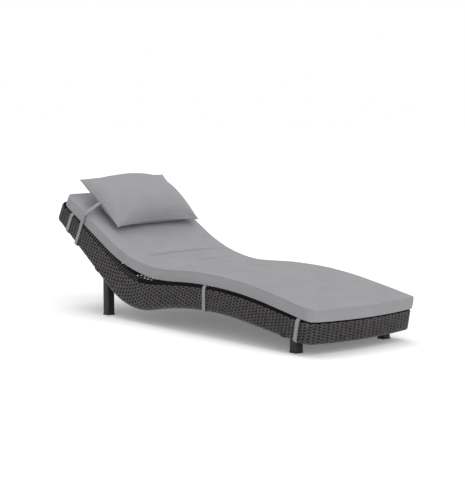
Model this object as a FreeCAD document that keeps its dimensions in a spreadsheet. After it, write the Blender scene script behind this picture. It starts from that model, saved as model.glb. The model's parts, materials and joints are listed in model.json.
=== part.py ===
import FreeCAD, Part
import math
import os

from FreeCAD import Placement, Rotation, Vector

# A garden lounger with a fixed wave-shaped seat: a welded tube frame closed in by woven
# strand panels, four wrapped legs, a strapped mattress and a pillow on a loop of webbing.
# The foot end points along +X, the left side along +Y, and the feet stand on Z = 0.

# Driving dimensions in millimetres, degrees, counts and shares of a length
SIZES = {
    # Line of the deck's top, from the foot end to the head end
    "frame_width": 646,
    "deck_foot_height": 145.5,
    "front_fall": 10.4,
    "knee_distance": 554,
    "knee_round_share": 0.46,
    "seat_rise": 3.1,
    "bend_distance": 1222,
    "deck_bend_share": 0.19,
    "back_angle": 28.6,
    "head_distance": 1857,
    # Line of the skirt's lower edge, set against the deck's line
    "foot_depth": 97,
    "front_taper": 3.1,
    "seat_taper": 7.2,
    "back_taper": 5.8,
    "skirt_knee_lag": 169,
    "skirt_knee_share": 0.55,
    "skirt_bend_lag": 51,
    "skirt_bend_share": 0.33,
    # Ends of the frame, bowed in plan with rounded corners
    "foot_bow": 28,
    "head_bow": 15,
    "end_corner_radius": 43,
    # Tubes and rods
    "top_rail_diameter": 25,
    "bottom_rail_diameter": 16,
    "tube_wall": 1.5,
    "deck_tube_diameter": 24,
    "strut_diameter": 10,
    "side_strut_count": 10,
    "end_strut_count": 3,
    "weld_gap": 0.2,
    # Woven strand panels
    "weave_thickness": 3,
    "weave_gap": 0.2,
    # Legs
    "front_leg_distance": 130,
    "rear_leg_distance": 1505,
    "leg_width": 43,
    "leg_wrap_thickness": 2,
    "leg_tube_wall": 2,
    "leg_side_gap": 12,
    "leg_bar_diameter": 20,
    "leg_slot_clearance": 0.3,
    "leg_head_room": 10,
    "glide_height": 5,
    "glide_plug_height": 20,
    "glide_plug_clearance": 0.2,
    # Leg fasteners
    "bolt_diameter": 8,
    "bolt_clearance": 0.25,
    "bolt_head_width": 15,
    "bolt_head_height": 5.3,
    "bolt_tip": 3,
    "nut_height": 6.5,
    "washer_diameter": 16,
    "washer_thickness": 1.6,
    # Mattress
    "mattress_side_inset": 4,
    "mattress_thickness": 57,
    "mattress_crown": 8,
    "mattress_side_bulge": 4,
    "mattress_draw_in": 4,
    "mattress_bend_share": 0.41,
    "mattress_head_setback": 22,
    "mattress_foot_overhang": 2,
    "mattress_station_spacing": 50,
    "cover_thickness": 1.2,
    "filling_gap": 0.3,
    "soft_gap": 0.5,
    # Webbing straps
    "strap_width": 22,
    "strap_thickness": 1.6,
    "strap_gap": 0.3,
    "head_strap_distance": 1748,
    "middle_strap_distance": 684,
    "foot_strap_distance": 66,
    # Pillow and its strap
    "pillow_width": 556,
    "pillow_depth": 375,
    "pillow_top_swell": 96,
    "pillow_under_swell": 52,
    "pillow_edge_swell": 3,
    "pillow_tilt": 7,
    "pillow_turn": 2.5,
    "pillow_distance": 210,
    "pillow_side_shift": 9,
    "pillow_gap": 0.4,
    "pillow_strap_width": 22,
    "pillow_strap_distance": 1662,
    "pillow_travel": 55,
    # How far a cutting or trimmed solid runs past what it meets
    "overrun": 5,
}

# Stations across the pillow's depth, and what its swell and width are there
PILLOW_DEPTH_SHARES = (-1.0, -0.85, -0.5, 0.0, 0.5, 0.85, 1.0)
PILLOW_SWELL_SHARES = (0.0, 0.5, 0.86, 1.0, 0.86, 0.5, 0.0)
PILLOW_WIDTH_SHARES = (1.0, 0.985, 0.955, 0.94, 0.955, 0.985, 1.0)

ACROSS = Vector(0, 1, 0)
UP = Vector(0, 0, 1)

doc = FreeCAD.newDocument("sun_lounger")
sizes = doc.addObject("Spreadsheet::Sheet", "sizes")
for row, (name, value) in enumerate(SIZES.items(), start=1):
    sizes.set("A%d" % row, name)
    sizes.set("B%d" % row, str(value))
    sizes.setAlias("B%d" % row, name)
doc.recompute()

pieces = []


def keep(thing, label):
    """Lists a finished piece under its own label."""
    thing.Label = label
    pieces.append(thing)
    return thing


def solid(label, shape, place=Placement()):
    """A finished piece whose shape is worked out below."""
    thing = doc.addObject("Part::Feature", label)
    thing.Shape = shape
    thing.Placement = place
    return keep(thing, label)


def helper(name, shape):
    """A shape that other features read and that isn't a piece."""
    thing = doc.addObject("Part::Feature", name)
    thing.Shape = shape
    return thing


def combine(kind, name, base, tool):
    """A boolean of two features: Part::Cut, Part::Common or Part::Fuse."""
    thing = doc.addObject(kind, name)
    thing.Base = base
    thing.Tool = tool
    return thing


def cylinder(name, radius, height, place):
    """A cylinder whose radius and height are expressions on the sheet."""
    thing = doc.addObject("Part::Cylinder", name)
    thing.setExpression("Radius", radius)
    thing.setExpression("Height", height)
    thing.Placement = place
    return thing


# Lines of the side view, as straight runs joined by tangent arcs


def heading(angle):
    """A unit step towards the head that climbs at an angle in degrees."""
    turn = math.radians(angle)
    return Vector(-math.cos(turn), 0, math.sin(turn))


def above(step):
    """The upward unit normal of a step in the side view."""
    return Vector(step.z, 0, -step.x)


def crossing(point, step, other, other_step):
    """Where two straight runs of the side view meet."""
    across = step.x * other_step.z - step.z * other_step.x
    gap = other - point
    return point + step * ((gap.x * other_step.z - gap.z * other_step.x) / across)


def along(step, level_distance):
    """A move along a step that covers a distance measured on the level."""
    return step * (level_distance / -step.x)


def rounded(before, corner, after, radius):
    """The start, middle and end of the arc that rounds a corner."""
    back = (before - corner).normalize()
    on = (after - corner).normalize()
    half = back.getAngle(on) / 2
    inward = (back + on).normalize()
    reach = radius / math.tan(half)
    middle = corner + inward * (radius / math.sin(half) - radius)
    return corner + back * reach, middle, corner + on * reach


class SideLine:
    """Three runs from the foot end to the head end; each rounding takes its share of the seat run."""

    def __init__(self, start, knee, bend, end, steps, round_shares):
        self.start = start
        self.knee = knee
        self.bend = bend
        self.end = end
        self.steps = steps
        seat_run = (bend - knee).Length
        turns = (steps[0].getAngle(steps[1]), steps[1].getAngle(steps[2]))
        self.radii = [share * seat_run / math.tan(turn / 2) for share, turn in zip(round_shares, turns)]

    def edges(self, lift=0, y=0, foot_reach=0, head_reach=0):
        """The line raised square to itself by lift, with both ends run on by their reach."""
        front, seat, back = self.steps
        shift = ACROSS * y
        start = self.start + above(front) * lift - front * foot_reach + shift
        end = self.end + above(back) * lift + back * head_reach + shift
        seat_point = self.knee + above(seat) * lift + shift
        knee = crossing(start, front, seat_point, seat) + shift
        bend = crossing(seat_point, seat, end, back) + shift
        knee.y = y
        bend.y = y
        knee_arc = rounded(start, knee, bend, self.radii[0] + lift)
        bend_arc = rounded(knee, bend, end, self.radii[1] - lift)
        return [
            Part.LineSegment(start, knee_arc[0]).toShape(),
            Part.Arc(*knee_arc).toShape(),
            Part.LineSegment(knee_arc[2], bend_arc[0]).toShape(),
            Part.Arc(*bend_arc).toShape(),
            Part.LineSegment(bend_arc[2], end).toShape(),
        ]

    def wire(self, **where):
        return Part.Wire(self.edges(**where))


half_width = sizes.frame_width / 2
foot_end_reach = sizes.mattress_foot_overhang + sizes.foot_bow
pad_rise = sizes.soft_gap + sizes.mattress_thickness + sizes.mattress_crown
skirt_roll = sizes.weave_thickness + sizes.bottom_rail_diameter / 2

front_step = heading(sizes.front_fall)
seat_step = heading(-sizes.seat_rise)
back_step = heading(sizes.back_angle)
skirt_front = heading(sizes.front_fall - sizes.front_taper)
skirt_seat = heading(-sizes.seat_rise - sizes.seat_taper)
skirt_back = heading(sizes.back_angle + sizes.back_taper)
skirt_knee_distance = sizes.knee_distance + sizes.skirt_knee_lag
skirt_bend_distance = sizes.bend_distance + sizes.skirt_bend_lag


def side_lines(foot):
    """The lines of the deck, the mattress and the skirt, from the foot corner of the deck."""
    knee = foot + along(front_step, sizes.knee_distance)
    bend = knee + along(seat_step, sizes.bend_distance - sizes.knee_distance)
    head = bend + along(back_step, sizes.head_distance - sizes.bend_distance)
    steps = (front_step, seat_step, back_step)
    deck = SideLine(foot, knee, bend, head, steps, (sizes.knee_round_share, sizes.deck_bend_share))
    pad = SideLine(foot, knee, bend, head, steps, (sizes.knee_round_share, sizes.mattress_bend_share))
    low_foot = foot - UP * sizes.foot_depth
    low_knee = low_foot + along(skirt_front, skirt_knee_distance)
    low_bend = low_knee + along(skirt_seat, skirt_bend_distance - skirt_knee_distance)
    skirt = SideLine(
        crossing(low_foot, skirt_front, foot, above(front_step)),
        low_knee,
        low_bend,
        crossing(low_bend, skirt_back, head, above(back_step)),
        (skirt_front, skirt_seat, skirt_back),
        (sizes.skirt_knee_share, sizes.skirt_bend_share),
    )
    return deck, pad, skirt


# The part's length is centred on the origin: the mattress's foot tip against the skirt's head tip
trial_deck, trial_pad, trial_skirt = side_lines(UP * sizes.deck_foot_height)
foot_tip = foot_end_reach * -front_step.x + pad_rise * front_step.z
head_depth = (trial_deck.end - trial_skirt.end).Length
roll_centre = (sizes.head_bow - skirt_roll) * back_step.x - (head_depth - skirt_roll) * back_step.z
head_tip = trial_deck.end.x + roll_centre - skirt_roll
foot_x = -(foot_tip + head_tip) / 2
foot_point = Vector(foot_x, 0, sizes.deck_foot_height)
deck_line, pad_line, skirt_line = side_lines(foot_point)
head_point = deck_line.end


# Ends of the frame: each has its own axes, square to the run that it closes


class FrameEnd:
    """A bowed end with two rounded corners, seen square to its own run."""

    def __init__(self, origin, forward, bow):
        self.origin = origin
        self.forward = forward
        self.up = Vector(-forward.z, 0, forward.x) if forward.x > 0 else above(forward)
        self.bow_radius = (half_width**2 + bow**2) / (2 * bow)
        self.bow_centre = bow - self.bow_radius
        self.corner_side = half_width - sizes.end_corner_radius
        to_corner = self.bow_radius - sizes.end_corner_radius
        self.cut = self.bow_centre + math.sqrt(to_corner**2 - self.corner_side**2)

    def place(self, ahead, side, lift):
        return self.origin + self.forward * ahead + ACROSS * side + self.up * lift

    def path(self, inset, lift):
        """Corner, bow and corner, moved in from the outer face and raised from the deck's line."""
        lean = math.atan2(self.corner_side, self.cut - self.bow_centre)
        radius = sizes.end_corner_radius - inset
        bow_radius = self.bow_radius - inset

        def corner(side, angle):
            ahead = self.cut + radius * math.cos(angle)
            return self.place(ahead, side * (self.corner_side + radius * math.sin(angle)), lift)

        half_turn = (lean + math.pi / 2) / 2
        near_end = corner(-1, lean)
        far_end = corner(1, lean)
        middle = self.place(self.bow_centre + bow_radius, 0, lift)
        return Part.Wire([
            Part.Arc(corner(-1, math.pi / 2), corner(-1, half_turn), near_end).toShape(),
            Part.Arc(near_end, middle, far_end).toShape(),
            Part.Arc(far_end, corner(1, half_turn), corner(1, math.pi / 2)).toShape(),
        ])

    def depth(self):
        """How deep the skirt is where the end's corners begin."""
        point = self.place(self.cut, 0, 0)
        run = (skirt_line.start, skirt_front) if self.forward.x > 0 else (skirt_line.end, skirt_back)
        return (point - crossing(run[0], run[1], point, self.up)).Length


foot_end = FrameEnd(foot_point, front_step * -1, sizes.foot_bow)
head_end = FrameEnd(head_point, back_step, sizes.head_bow)
ends = {"foot": foot_end, "head": head_end}

# The stretch of the sides between the two ends' corners, as one trimming block
trim_reach = sizes.frame_width
window_corners = [
    foot_end.place(foot_end.cut, -trim_reach, -trim_reach),
    foot_end.place(foot_end.cut, -trim_reach, trim_reach),
    head_end.place(head_end.cut, -trim_reach, trim_reach),
    head_end.place(head_end.cut, -trim_reach, -trim_reach),
]
window_face = Part.Face(Part.makePolygon(window_corners + window_corners[:1]))
side_window = helper("side_window", window_face.extrude(ACROSS * (2 * trim_reach)))

# Rail centres, measured in from the skirt's outer faces
top_inset = sizes.weave_thickness + sizes.top_rail_diameter / 2
bottom_inset = skirt_roll
top_rail_y = half_width - top_inset
bottom_rail_y = half_width - bottom_inset
SIDES = {"left": 1, "right": -1}


def top_rail_wire(side):
    return deck_line.wire(
        lift=-top_inset, y=side * top_rail_y, foot_reach=sizes.overrun, head_reach=sizes.overrun
    )


def bottom_rail_wire(side):
    return skirt_line.wire(
        lift=bottom_inset, y=side * bottom_rail_y, foot_reach=sizes.overrun, head_reach=sizes.overrun
    )


def first_point(wire):
    edge = wire.OrderedEdges[0]
    return edge.valueAt(edge.FirstParameter), edge.tangentAt(edge.FirstParameter)


def round_bar(wire, radius):
    """A solid round bar along a wire."""
    point, direction = first_point(wire)
    ring = Part.Wire(Part.Circle(point, direction, radius).toShape())
    return wire.makePipeShell([ring], True, False)


def swept_tube(name, wire, diameter):
    """A hollow tube along a wire, with its outside and its wall read from the sheet."""
    spine = helper(name + "_path", wire)
    point, direction = first_point(wire)
    skins = []
    for skin, radius in (("outside", "%s / 2"), ("bore", "%s / 2 - sizes.tube_wall")):
        ring = doc.addObject("Part::Circle", "%s_%s_ring" % (name, skin))
        ring.setExpression("Radius", radius % ("sizes." + diameter))
        ring.Placement = Placement(point, Rotation(UP, direction))
        sweep = doc.addObject("Part::Sweep", "%s_%s" % (name, skin))
        sweep.Sections = [ring]
        sweep.Spine = (spine, ["Edge%d" % (i + 1) for i in range(len(wire.Edges))])
        sweep.Solid = True
        skins.append(sweep)
    return combine("Part::Cut", name + "_tube", *skins)


# Side rails, trimmed square where the end rails meet them
rail_keepouts = []
for side_name, side in SIDES.items():
    for level, wire, diameter in (
        ("top", top_rail_wire(side), "top_rail_diameter"),
        ("bottom", bottom_rail_wire(side), "bottom_rail_diameter"),
    ):
        label = "%s_%s_rail" % (side_name, level)
        tube = swept_tube(label, wire, diameter)
        keep(combine("Part::Common", label, tube, side_window), label)
        rail_keepouts.append(round_bar(wire, sizes.getPropertyByName(diameter) / 2 + sizes.weld_gap))

# End rails, bowed between the side rails
end_keepouts = {}
for end_name, end in ends.items():
    top_path = end.path(top_inset, -top_inset)
    bottom_path = end.path(bottom_inset, bottom_inset - end.depth())
    end_keepouts[end_name] = []
    for level, wire, diameter in (
        ("top", top_path, "top_rail_diameter"),
        ("bottom", bottom_path, "bottom_rail_diameter"),
    ):
        label = "%s_%s_rail" % (end_name, level)
        keep(swept_tube(label, wire, diameter), label)
        bar = round_bar(wire, sizes.getPropertyByName(diameter) / 2 + sizes.weld_gap)
        end_keepouts[end_name].append(bar)


# Cross tubes: those under the deck join the top rails, and the leg bars join the bottom rails


def cross_tube(label, diameter, centre, rail_y, keepouts):
    """A hollow tube from one side rail to the other, with its ends shaped to the rails."""
    height = "2 * %f" % rail_y
    start = Placement(centre - ACROSS * rail_y, Rotation(UP, ACROSS))
    outside = cylinder(label + "_outside", "sizes.%s / 2" % diameter, height, start)
    bore = cylinder(label + "_bore", "sizes.%s / 2 - sizes.tube_wall" % diameter, height, start)
    tube = combine("Part::Cut", label + "_tube", outside, bore)
    rails = helper(label + "_saddles", Part.makeCompound(keepouts))
    return keep(combine("Part::Cut", label, tube, rails), label)


DECK_TUBE_NAMES = ("foot", "calf", "knee", "thigh", "seat", "lower_back", "upper_back", "head")
deck_centres = deck_line.wire(lift=-top_inset).discretize(len(DECK_TUBE_NAMES) + 2)[1:-1]
tube_keepouts = []
for tube_name, centre in zip(DECK_TUBE_NAMES, deck_centres):
    top_keepouts = [rail_keepouts[0], rail_keepouts[2]]
    clear_radius = sizes.deck_tube_diameter / 2 + sizes.weld_gap
    tube_start = centre - ACROSS * half_width
    tube_keepouts.append(Part.makeCylinder(clear_radius, sizes.frame_width, tube_start, ACROSS))
    cross_tube(tube_name + "_deck_tube", "deck_tube_diameter", centre, top_rail_y, top_keepouts)


def level_hit(wire, distance):
    """The point of a side line at a level distance from the foot corner."""
    x = foot_x - distance
    upright = Part.makeLine(Vector(x, 0, -trim_reach), Vector(x, 0, 2 * trim_reach))
    return upright.distToShape(wire)[1][0][1]


bottom_centre_line = skirt_line.wire(lift=bottom_inset)
LEG_ROWS = {"front": sizes.front_leg_distance, "rear": sizes.rear_leg_distance}
bar_centres = {}
bar_keepouts = []
for row_name, distance in LEG_ROWS.items():
    centre = level_hit(bottom_centre_line, distance)
    bar_centres[row_name] = centre
    bottom_keepouts = [rail_keepouts[1], rail_keepouts[3]]
    cross_tube(row_name + "_leg_bar", "leg_bar_diameter", centre, bottom_rail_y, bottom_keepouts)
    clear_radius = sizes.leg_bar_diameter / 2 + sizes.weld_gap
    bar_start = centre - ACROSS * half_width
    bar_keepouts.append(Part.makeCylinder(clear_radius, sizes.frame_width, bar_start, ACROSS))


# Struts between the upper and the lower rails


def strut(foot, head, keepouts):
    """A rod between two rail centres, cut back to the rails."""
    rod = Part.makeCylinder(sizes.strut_diameter / 2, (head - foot).Length, foot, head - foot)
    return rod.cut(keepouts)


for side_name, side in SIDES.items():
    count = int(sizes.side_strut_count) + 2
    tops = top_rail_wire(side).discretize(count)[1:-1]
    bottoms = bottom_rail_wire(side).discretize(count)[1:-1]
    keepouts = rail_keepouts + tube_keepouts + bar_keepouts
    rods = [strut(low, high, keepouts) for low, high in zip(bottoms, tops)]
    solid(side_name + "_side_struts", Part.makeCompound([s for rod in rods for s in rod.Solids]))

for end_name, end in ends.items():
    count = int(sizes.end_strut_count) + 2
    tops = end.path(top_inset, -top_inset).discretize(count)[1:-1]
    bottoms = end.path(bottom_inset, bottom_inset - end.depth()).discretize(count)[1:-1]
    rods = [strut(low, high, end_keepouts[end_name]) for low, high in zip(bottoms, tops)]
    solid(end_name + "_end_struts", Part.makeCompound([s for rod in rods for s in rod.Solids]))


# Woven panels: a flat wall whose upper and lower edges roll a quarter turn round the rails

wall = sizes.weave_thickness - sizes.weave_gap


def roll_face(centre, outward, upright, rail_diameter):
    """A quarter ring from the outer side of a rail round to its top, or to its underside."""
    outer = rail_diameter / 2 + sizes.weave_thickness
    inner = outer - wall

    def spot(radius, angle):
        return centre + outward * (radius * math.cos(angle)) + upright * (radius * math.sin(angle))

    quarter = math.pi / 2
    return Part.Face(Part.Wire([
        Part.Arc(spot(outer, 0), spot(outer, quarter / 2), spot(outer, quarter)).toShape(),
        Part.LineSegment(spot(outer, quarter), spot(inner, quarter)).toShape(),
        Part.Arc(spot(inner, quarter), spot(inner, quarter / 2), spot(inner, 0)).toShape(),
        Part.LineSegment(spot(inner, 0), spot(outer, 0)).toShape(),
    ]))


def between(lower_edges, upper_edges):
    """The flat face between two side lines."""
    low = Part.Wire(lower_edges)
    high = Part.Wire(upper_edges)
    low_ends = (low.OrderedVertexes[0].Point, low.OrderedVertexes[-1].Point)
    high_ends = (high.OrderedVertexes[0].Point, high.OrderedVertexes[-1].Point)
    foot_side = Part.LineSegment(low_ends[0], high_ends[0]).toShape()
    head_side = Part.LineSegment(low_ends[1], high_ends[1]).toShape()
    edges = lower_edges + [head_side] + upper_edges + [foot_side]
    return Part.Face(Part.Wire(Part.__sortEdges__(edges)))


for side_name, side in SIDES.items():
    reach = {"foot_reach": sizes.overrun, "head_reach": sizes.overrun}
    upper = deck_line.edges(lift=-top_inset, y=side * half_width, **reach)
    lower = skirt_line.edges(lift=bottom_inset, y=side * half_width, **reach)
    panel = between(lower, upper).extrude(ACROSS * (-side * wall))
    outward = ACROSS * side
    rolls = []
    for wire, diameter, sense in (
        (top_rail_wire(side), sizes.top_rail_diameter, 1),
        (bottom_rail_wire(side), sizes.bottom_rail_diameter, -1),
    ):
        point, direction = first_point(wire)
        rolls.append(wire.makePipe(roll_face(point, outward, above(direction) * sense, diameter)))
    skirt = panel.fuse(rolls).common(side_window.Shape)
    solid(side_name + "_side_weave", skirt.removeSplitter())

for end_name, end in ends.items():
    depth = end.depth()
    start = end.path(0, 0)
    outward = ACROSS * -1
    upper_centre = end.place(end.cut, -top_rail_y, -top_inset)
    lower_centre = end.place(end.cut, -bottom_rail_y, bottom_inset - depth)
    wall_corners = [
        end.place(end.cut, -half_width, -top_inset),
        end.place(end.cut, -half_width + wall, -top_inset),
        end.place(end.cut, -half_width + wall, bottom_inset - depth),
        end.place(end.cut, -half_width, bottom_inset - depth),
    ]
    faces = [
        Part.Face(Part.makePolygon(wall_corners + wall_corners[:1])),
        roll_face(upper_centre, outward, end.up, sizes.top_rail_diameter),
        roll_face(lower_centre, outward, end.up * -1, sizes.bottom_rail_diameter),
    ]
    bands = [start.makePipe(face) for face in faces]
    solid(end_name + "_end_weave", bands[0].fuse(bands[1:]).removeSplitter())


def deck_flap(end):
    """The flat stretch of deck between an end's corners and its rail."""
    path = end.path(top_inset, 0)
    ends_of_path = (path.OrderedVertexes[0].Point, path.OrderedVertexes[-1].Point)
    close = Part.LineSegment(ends_of_path[1], ends_of_path[0]).toShape()
    return Part.Face(Part.Wire(path.Edges + [close])).extrude(end.up * -wall)


foot_run_on = {"foot_reach": foot_end.cut, "head_reach": head_end.cut}
deck_top = deck_line.edges(lift=0, y=-top_rail_y, **foot_run_on)
deck_under = deck_line.edges(lift=-wall, y=-top_rail_y, **foot_run_on)
deck_band = between(deck_under, deck_top).extrude(ACROSS * (2 * top_rail_y))
deck = deck_band.fuse([deck_flap(foot_end), deck_flap(head_end)])
solid("deck_weave", deck.removeSplitter())

# Legs: each stands on a glide, and its slotted top sits over a leg bar, held by one bolt

leg_face_y = half_width - sizes.weave_thickness - sizes.bottom_rail_diameter - sizes.leg_side_gap
leg_y = leg_face_y - sizes.leg_width / 2
tube_width = "sizes.leg_width - 2 * sizes.leg_wrap_thickness"
tube_bore = tube_width + " - 2 * sizes.leg_tube_wall"
bolt_rise = (sizes.leg_bar_diameter + sizes.bolt_diameter) / 2 + sizes.weld_gap + sizes.bolt_clearance


def square_post(name, width, height, x, y, z):
    """An upright square bar, centred on a point of the floor plan."""
    post = doc.addObject("Part::Box", name)
    post.setExpression("Length", width)
    post.setExpression("Width", width)
    post.setExpression("Height", height)
    doc.recompute()
    post.Placement.Base = Vector(x - post.Length.Value / 2, y - post.Width.Value / 2, z)
    return post


def leg_tool(name, x, y, bar_z):
    """The open slot for the leg bar together with the bolt's bore."""
    slot_width = sizes.leg_bar_diameter + 2 * sizes.leg_slot_clearance
    reach = sizes.leg_width + 2 * sizes.overrun
    start = Vector(x, y - reach / 2, bar_z)
    seat = Part.makeCylinder(slot_width / 2, reach, start, ACROSS)
    corner = start - Vector(slot_width / 2, 0, 0)
    slot = Part.makeBox(slot_width, reach, sizes.leg_width, corner)
    bore_radius = sizes.bolt_diameter / 2 + sizes.bolt_clearance
    bore_start = Vector(x - reach / 2, y, bar_z + bolt_rise)
    bore = Part.makeCylinder(bore_radius, reach, bore_start, Vector(1, 0, 0))
    return helper(name, seat.fuse([slot, bore]))


bolts = []
nuts = []
washers = []


def hexagon(start, height):
    """A hexagonal prism along +X."""
    corner_radius = sizes.bolt_head_width / 2 / math.cos(math.pi / 6)
    angles = [i * math.pi / 3 for i in range(6)]
    corners = [start + Vector(0, math.cos(a), math.sin(a)) * corner_radius for a in angles]
    return Part.Face(Part.makePolygon(corners + corners[:1])).extrude(Vector(height, 0, 0))


def leg_fasteners(x, y, z):
    """One bolt with its nut and two washers, through a leg along X."""
    along_x = Vector(1, 0, 0)
    half = sizes.leg_width / 2
    shank_radius = sizes.bolt_diameter / 2
    hole_radius = shank_radius + sizes.bolt_clearance
    head_seat = x + half + sizes.washer_thickness
    nut_seat = x - half - sizes.washer_thickness
    tip = nut_seat - sizes.nut_height - sizes.bolt_tip
    shank = Part.makeCylinder(shank_radius, head_seat - tip, Vector(tip, y, z), along_x)
    bolts.append(shank.fuse(hexagon(Vector(head_seat, y, z), sizes.bolt_head_height)))
    nut = hexagon(Vector(nut_seat - sizes.nut_height, y, z), sizes.nut_height)
    nut_bore = Part.makeCylinder(hole_radius, head_seat - tip, Vector(tip, y, z), along_x)
    nuts.append(nut.cut(nut_bore))
    for seat in (x + half, nut_seat):
        face = Vector(seat, y, z)
        disc = Part.makeCylinder(sizes.washer_diameter / 2, sizes.washer_thickness, face, along_x)
        washers.append(disc.cut(nut_bore))


for row_name, distance in LEG_ROWS.items():
    bar = bar_centres[row_name]
    top = bar.z + bolt_rise + sizes.bolt_diameter / 2 + sizes.leg_head_room
    for side_name, side in SIDES.items():
        leg_name = "%s_%s_leg" % (row_name, side_name)
        y = side * leg_y
        tool = leg_tool(leg_name + "_slot", bar.x, y, bar.z)
        height = "%f - sizes.glide_height" % top
        stand = (bar.x, y, sizes.glide_height)
        outside = square_post(leg_name + "_outside", tube_width, height, *stand)
        bore = square_post(leg_name + "_bore", tube_bore, height, *stand)
        tube = combine("Part::Cut", leg_name + "_tube", outside, bore)
        keep(combine("Part::Cut", leg_name, tube, tool), leg_name)
        wrap_name = leg_name + "_wrap"
        wrap_outside = square_post(wrap_name + "_outside", "sizes.leg_width", height, *stand)
        sleeve = combine("Part::Cut", wrap_name + "_sleeve", wrap_outside, outside)
        keep(combine("Part::Cut", wrap_name, sleeve, tool), wrap_name)
        glide_name = leg_name + "_glide"
        pad = square_post(glide_name + "_pad", "sizes.leg_width", "sizes.glide_height", bar.x, y, 0)
        plug_width = tube_bore + " - 2 * sizes.glide_plug_clearance"
        plug = square_post(glide_name + "_plug", plug_width, "sizes.glide_plug_height", *stand)
        doc.recompute()
        foot = combine("Part::Fuse", glide_name + "_body", pad, plug)
        keep(foot, glide_name)
        leg_fasteners(bar.x, y, bar.z + bolt_rise)

solid("leg_bolts", Part.makeCompound(bolts))
solid("leg_nuts", Part.makeCompound(nuts))
solid("leg_washers", Part.makeCompound(washers))

# Mattress: a crowned, box-edged pad lofted along the deck, with its foot end bowed


def mattress_section(point, step, half, thickness, crown, bulge):
    """A flat underside, swelling sides and a crowned top, square to the pad's line."""
    up = above(step)

    def spot(y, lift):
        return point + ACROSS * y + up * lift

    return Part.Wire([
        Part.LineSegment(spot(-half, 0), spot(half, 0)).toShape(),
        Part.Arc(spot(half, 0), spot(half + bulge, thickness / 2), spot(half, thickness)).toShape(),
        Part.Arc(spot(half, thickness), spot(0, thickness + crown), spot(-half, thickness)).toShape(),
        Part.Arc(spot(-half, thickness), spot(-half - bulge, thickness / 2), spot(-half, 0)).toShape(),
    ])


def mattress_block(inset):
    """The mattress with every face moved in by an inset."""
    reach = foot_end_reach + sizes.overrun
    edges = pad_line.edges(
        lift=sizes.soft_gap + inset, foot_reach=reach, head_reach=-sizes.mattress_head_setback - inset
    )
    length = sum(edge.Length for edge in edges)
    half = half_width - sizes.mattress_side_inset - inset
    thickness = sizes.mattress_thickness - 2 * inset
    sections = []
    passed = 0
    for edge in edges:
        count = math.ceil(edge.Length / sizes.mattress_station_spacing)
        stations = [i / count for i in range(count)]
        if edge is edges[-1]:
            stations.append(1.0)
        for share in stations:
            spot = edge.FirstParameter + share * (edge.LastParameter - edge.FirstParameter)
            way = (passed + share * edge.Length) / length
            draw_in = 4 * sizes.mattress_draw_in * way * (1 - way)
            sections.append(mattress_section(
                edge.valueAt(spot), edge.tangentAt(spot), half - draw_in, thickness,
                sizes.mattress_crown, sizes.mattress_side_bulge,
            ))
        passed += edge.Length
    pad = Part.makeLoft(sections, True, False)
    bow_radius = foot_end.bow_radius - inset
    side = half_width + sizes.overrun
    tip = foot_end.bow_centre + sizes.mattress_foot_overhang
    corner = tip + math.sqrt(bow_radius**2 - side**2)
    back = -2 * sizes.head_distance
    floor = -sizes.head_distance
    bow = Part.Arc(
        foot_end.place(corner, -side, floor),
        foot_end.place(tip + bow_radius, 0, floor),
        foot_end.place(corner, side, floor),
    ).toShape()
    rest = Part.makePolygon([
        foot_end.place(corner, side, floor),
        foot_end.place(back, side, floor),
        foot_end.place(back, -side, floor),
        foot_end.place(corner, -side, floor),
    ])
    plan = Part.Face(Part.Wire([bow] + rest.Edges))
    return pad.common(plan.extrude(foot_end.up * (2 * sizes.head_distance)))


mattress_outside = mattress_block(0)
mattress_inside = mattress_block(sizes.cover_thickness)
solid("mattress_cover", mattress_outside.cut(mattress_inside))
solid("mattress_foam", mattress_block(sizes.cover_thickness + sizes.filling_gap))

# Straps: flat webbing that runs down the skirt and under the frame


def band_face(points, thickness):
    """A strip of even thickness on the right-hand side of a run of (side, lift) points."""
    outer = []
    for i, (side, lift) in enumerate(points):
        normals = []
        for a, b in ((i - 1, i), (i, i + 1)):
            if a >= 0 and b < len(points):
                dy = points[b][0] - points[a][0]
                dz = points[b][1] - points[a][1]
                length = math.hypot(dy, dz)
                normals.append((-dz / length, dy / length))
        ny = sum(n[0] for n in normals) / len(normals)
        nz = sum(n[1] for n in normals) / len(normals)
        stretch = thickness / (ny**2 + nz**2)
        outer.append((side - ny * stretch, lift - nz * stretch))
    return points + outer[::-1]


def strap_station(distance, width):
    """The two edges of a strap on the deck's line, and the strap's step and upward normal."""
    line = deck_line.wire()
    foot_side = level_hit(line, distance - width / 2)
    head_side = level_hit(line, distance + width / 2)
    step = (head_side - foot_side).normalize()
    middle = (foot_side + head_side) / 2
    return middle - step * (width / 2), middle + step * (width / 2), step, above(step)


def strap(label, distance, width, right_end, left_end, slack):
    """A strap square to the deck's line: down one side, under the frame and up the other."""
    foot_side, head_side, step, up = strap_station(distance, width)
    depths = []
    under = skirt_line.wire(foot_reach=sizes.overrun, head_reach=sizes.overrun)
    for point in (foot_side - step * slack, head_side + step * slack):
        drop = Part.makeLine(point, point - up * trim_reach)
        depths.append((point - drop.distToShape(under)[1][0][1]).Length)
    bottom = -max(depths) - sizes.strap_gap
    points = right_end + [(-strap_side, bottom), (strap_side, bottom)] + left_end[::-1]
    outline = band_face(points, sizes.strap_thickness)
    corners = [foot_side + ACROSS * y + up * lift for y, lift in outline]
    face = Part.Face(Part.makePolygon(corners + corners[:1]))
    return solid(label, face.extrude(step * width))


# Each mattress strap ends at the mattress's lower seam
strap_side = half_width + sizes.strap_gap
sewn_right = [(-strap_side, sizes.soft_gap)]
sewn_left = [(strap_side, sizes.soft_gap)]
for strap_name in ("head", "middle", "foot"):
    strap_distance = sizes.getPropertyByName(strap_name + "_strap_distance")
    strap(strap_name + "_strap", strap_distance, sizes.strap_width, sewn_right, sewn_left, 0)

# Pillow: a knife-edged cushion lofted across its depth, resting on the mattress's crown


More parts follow.
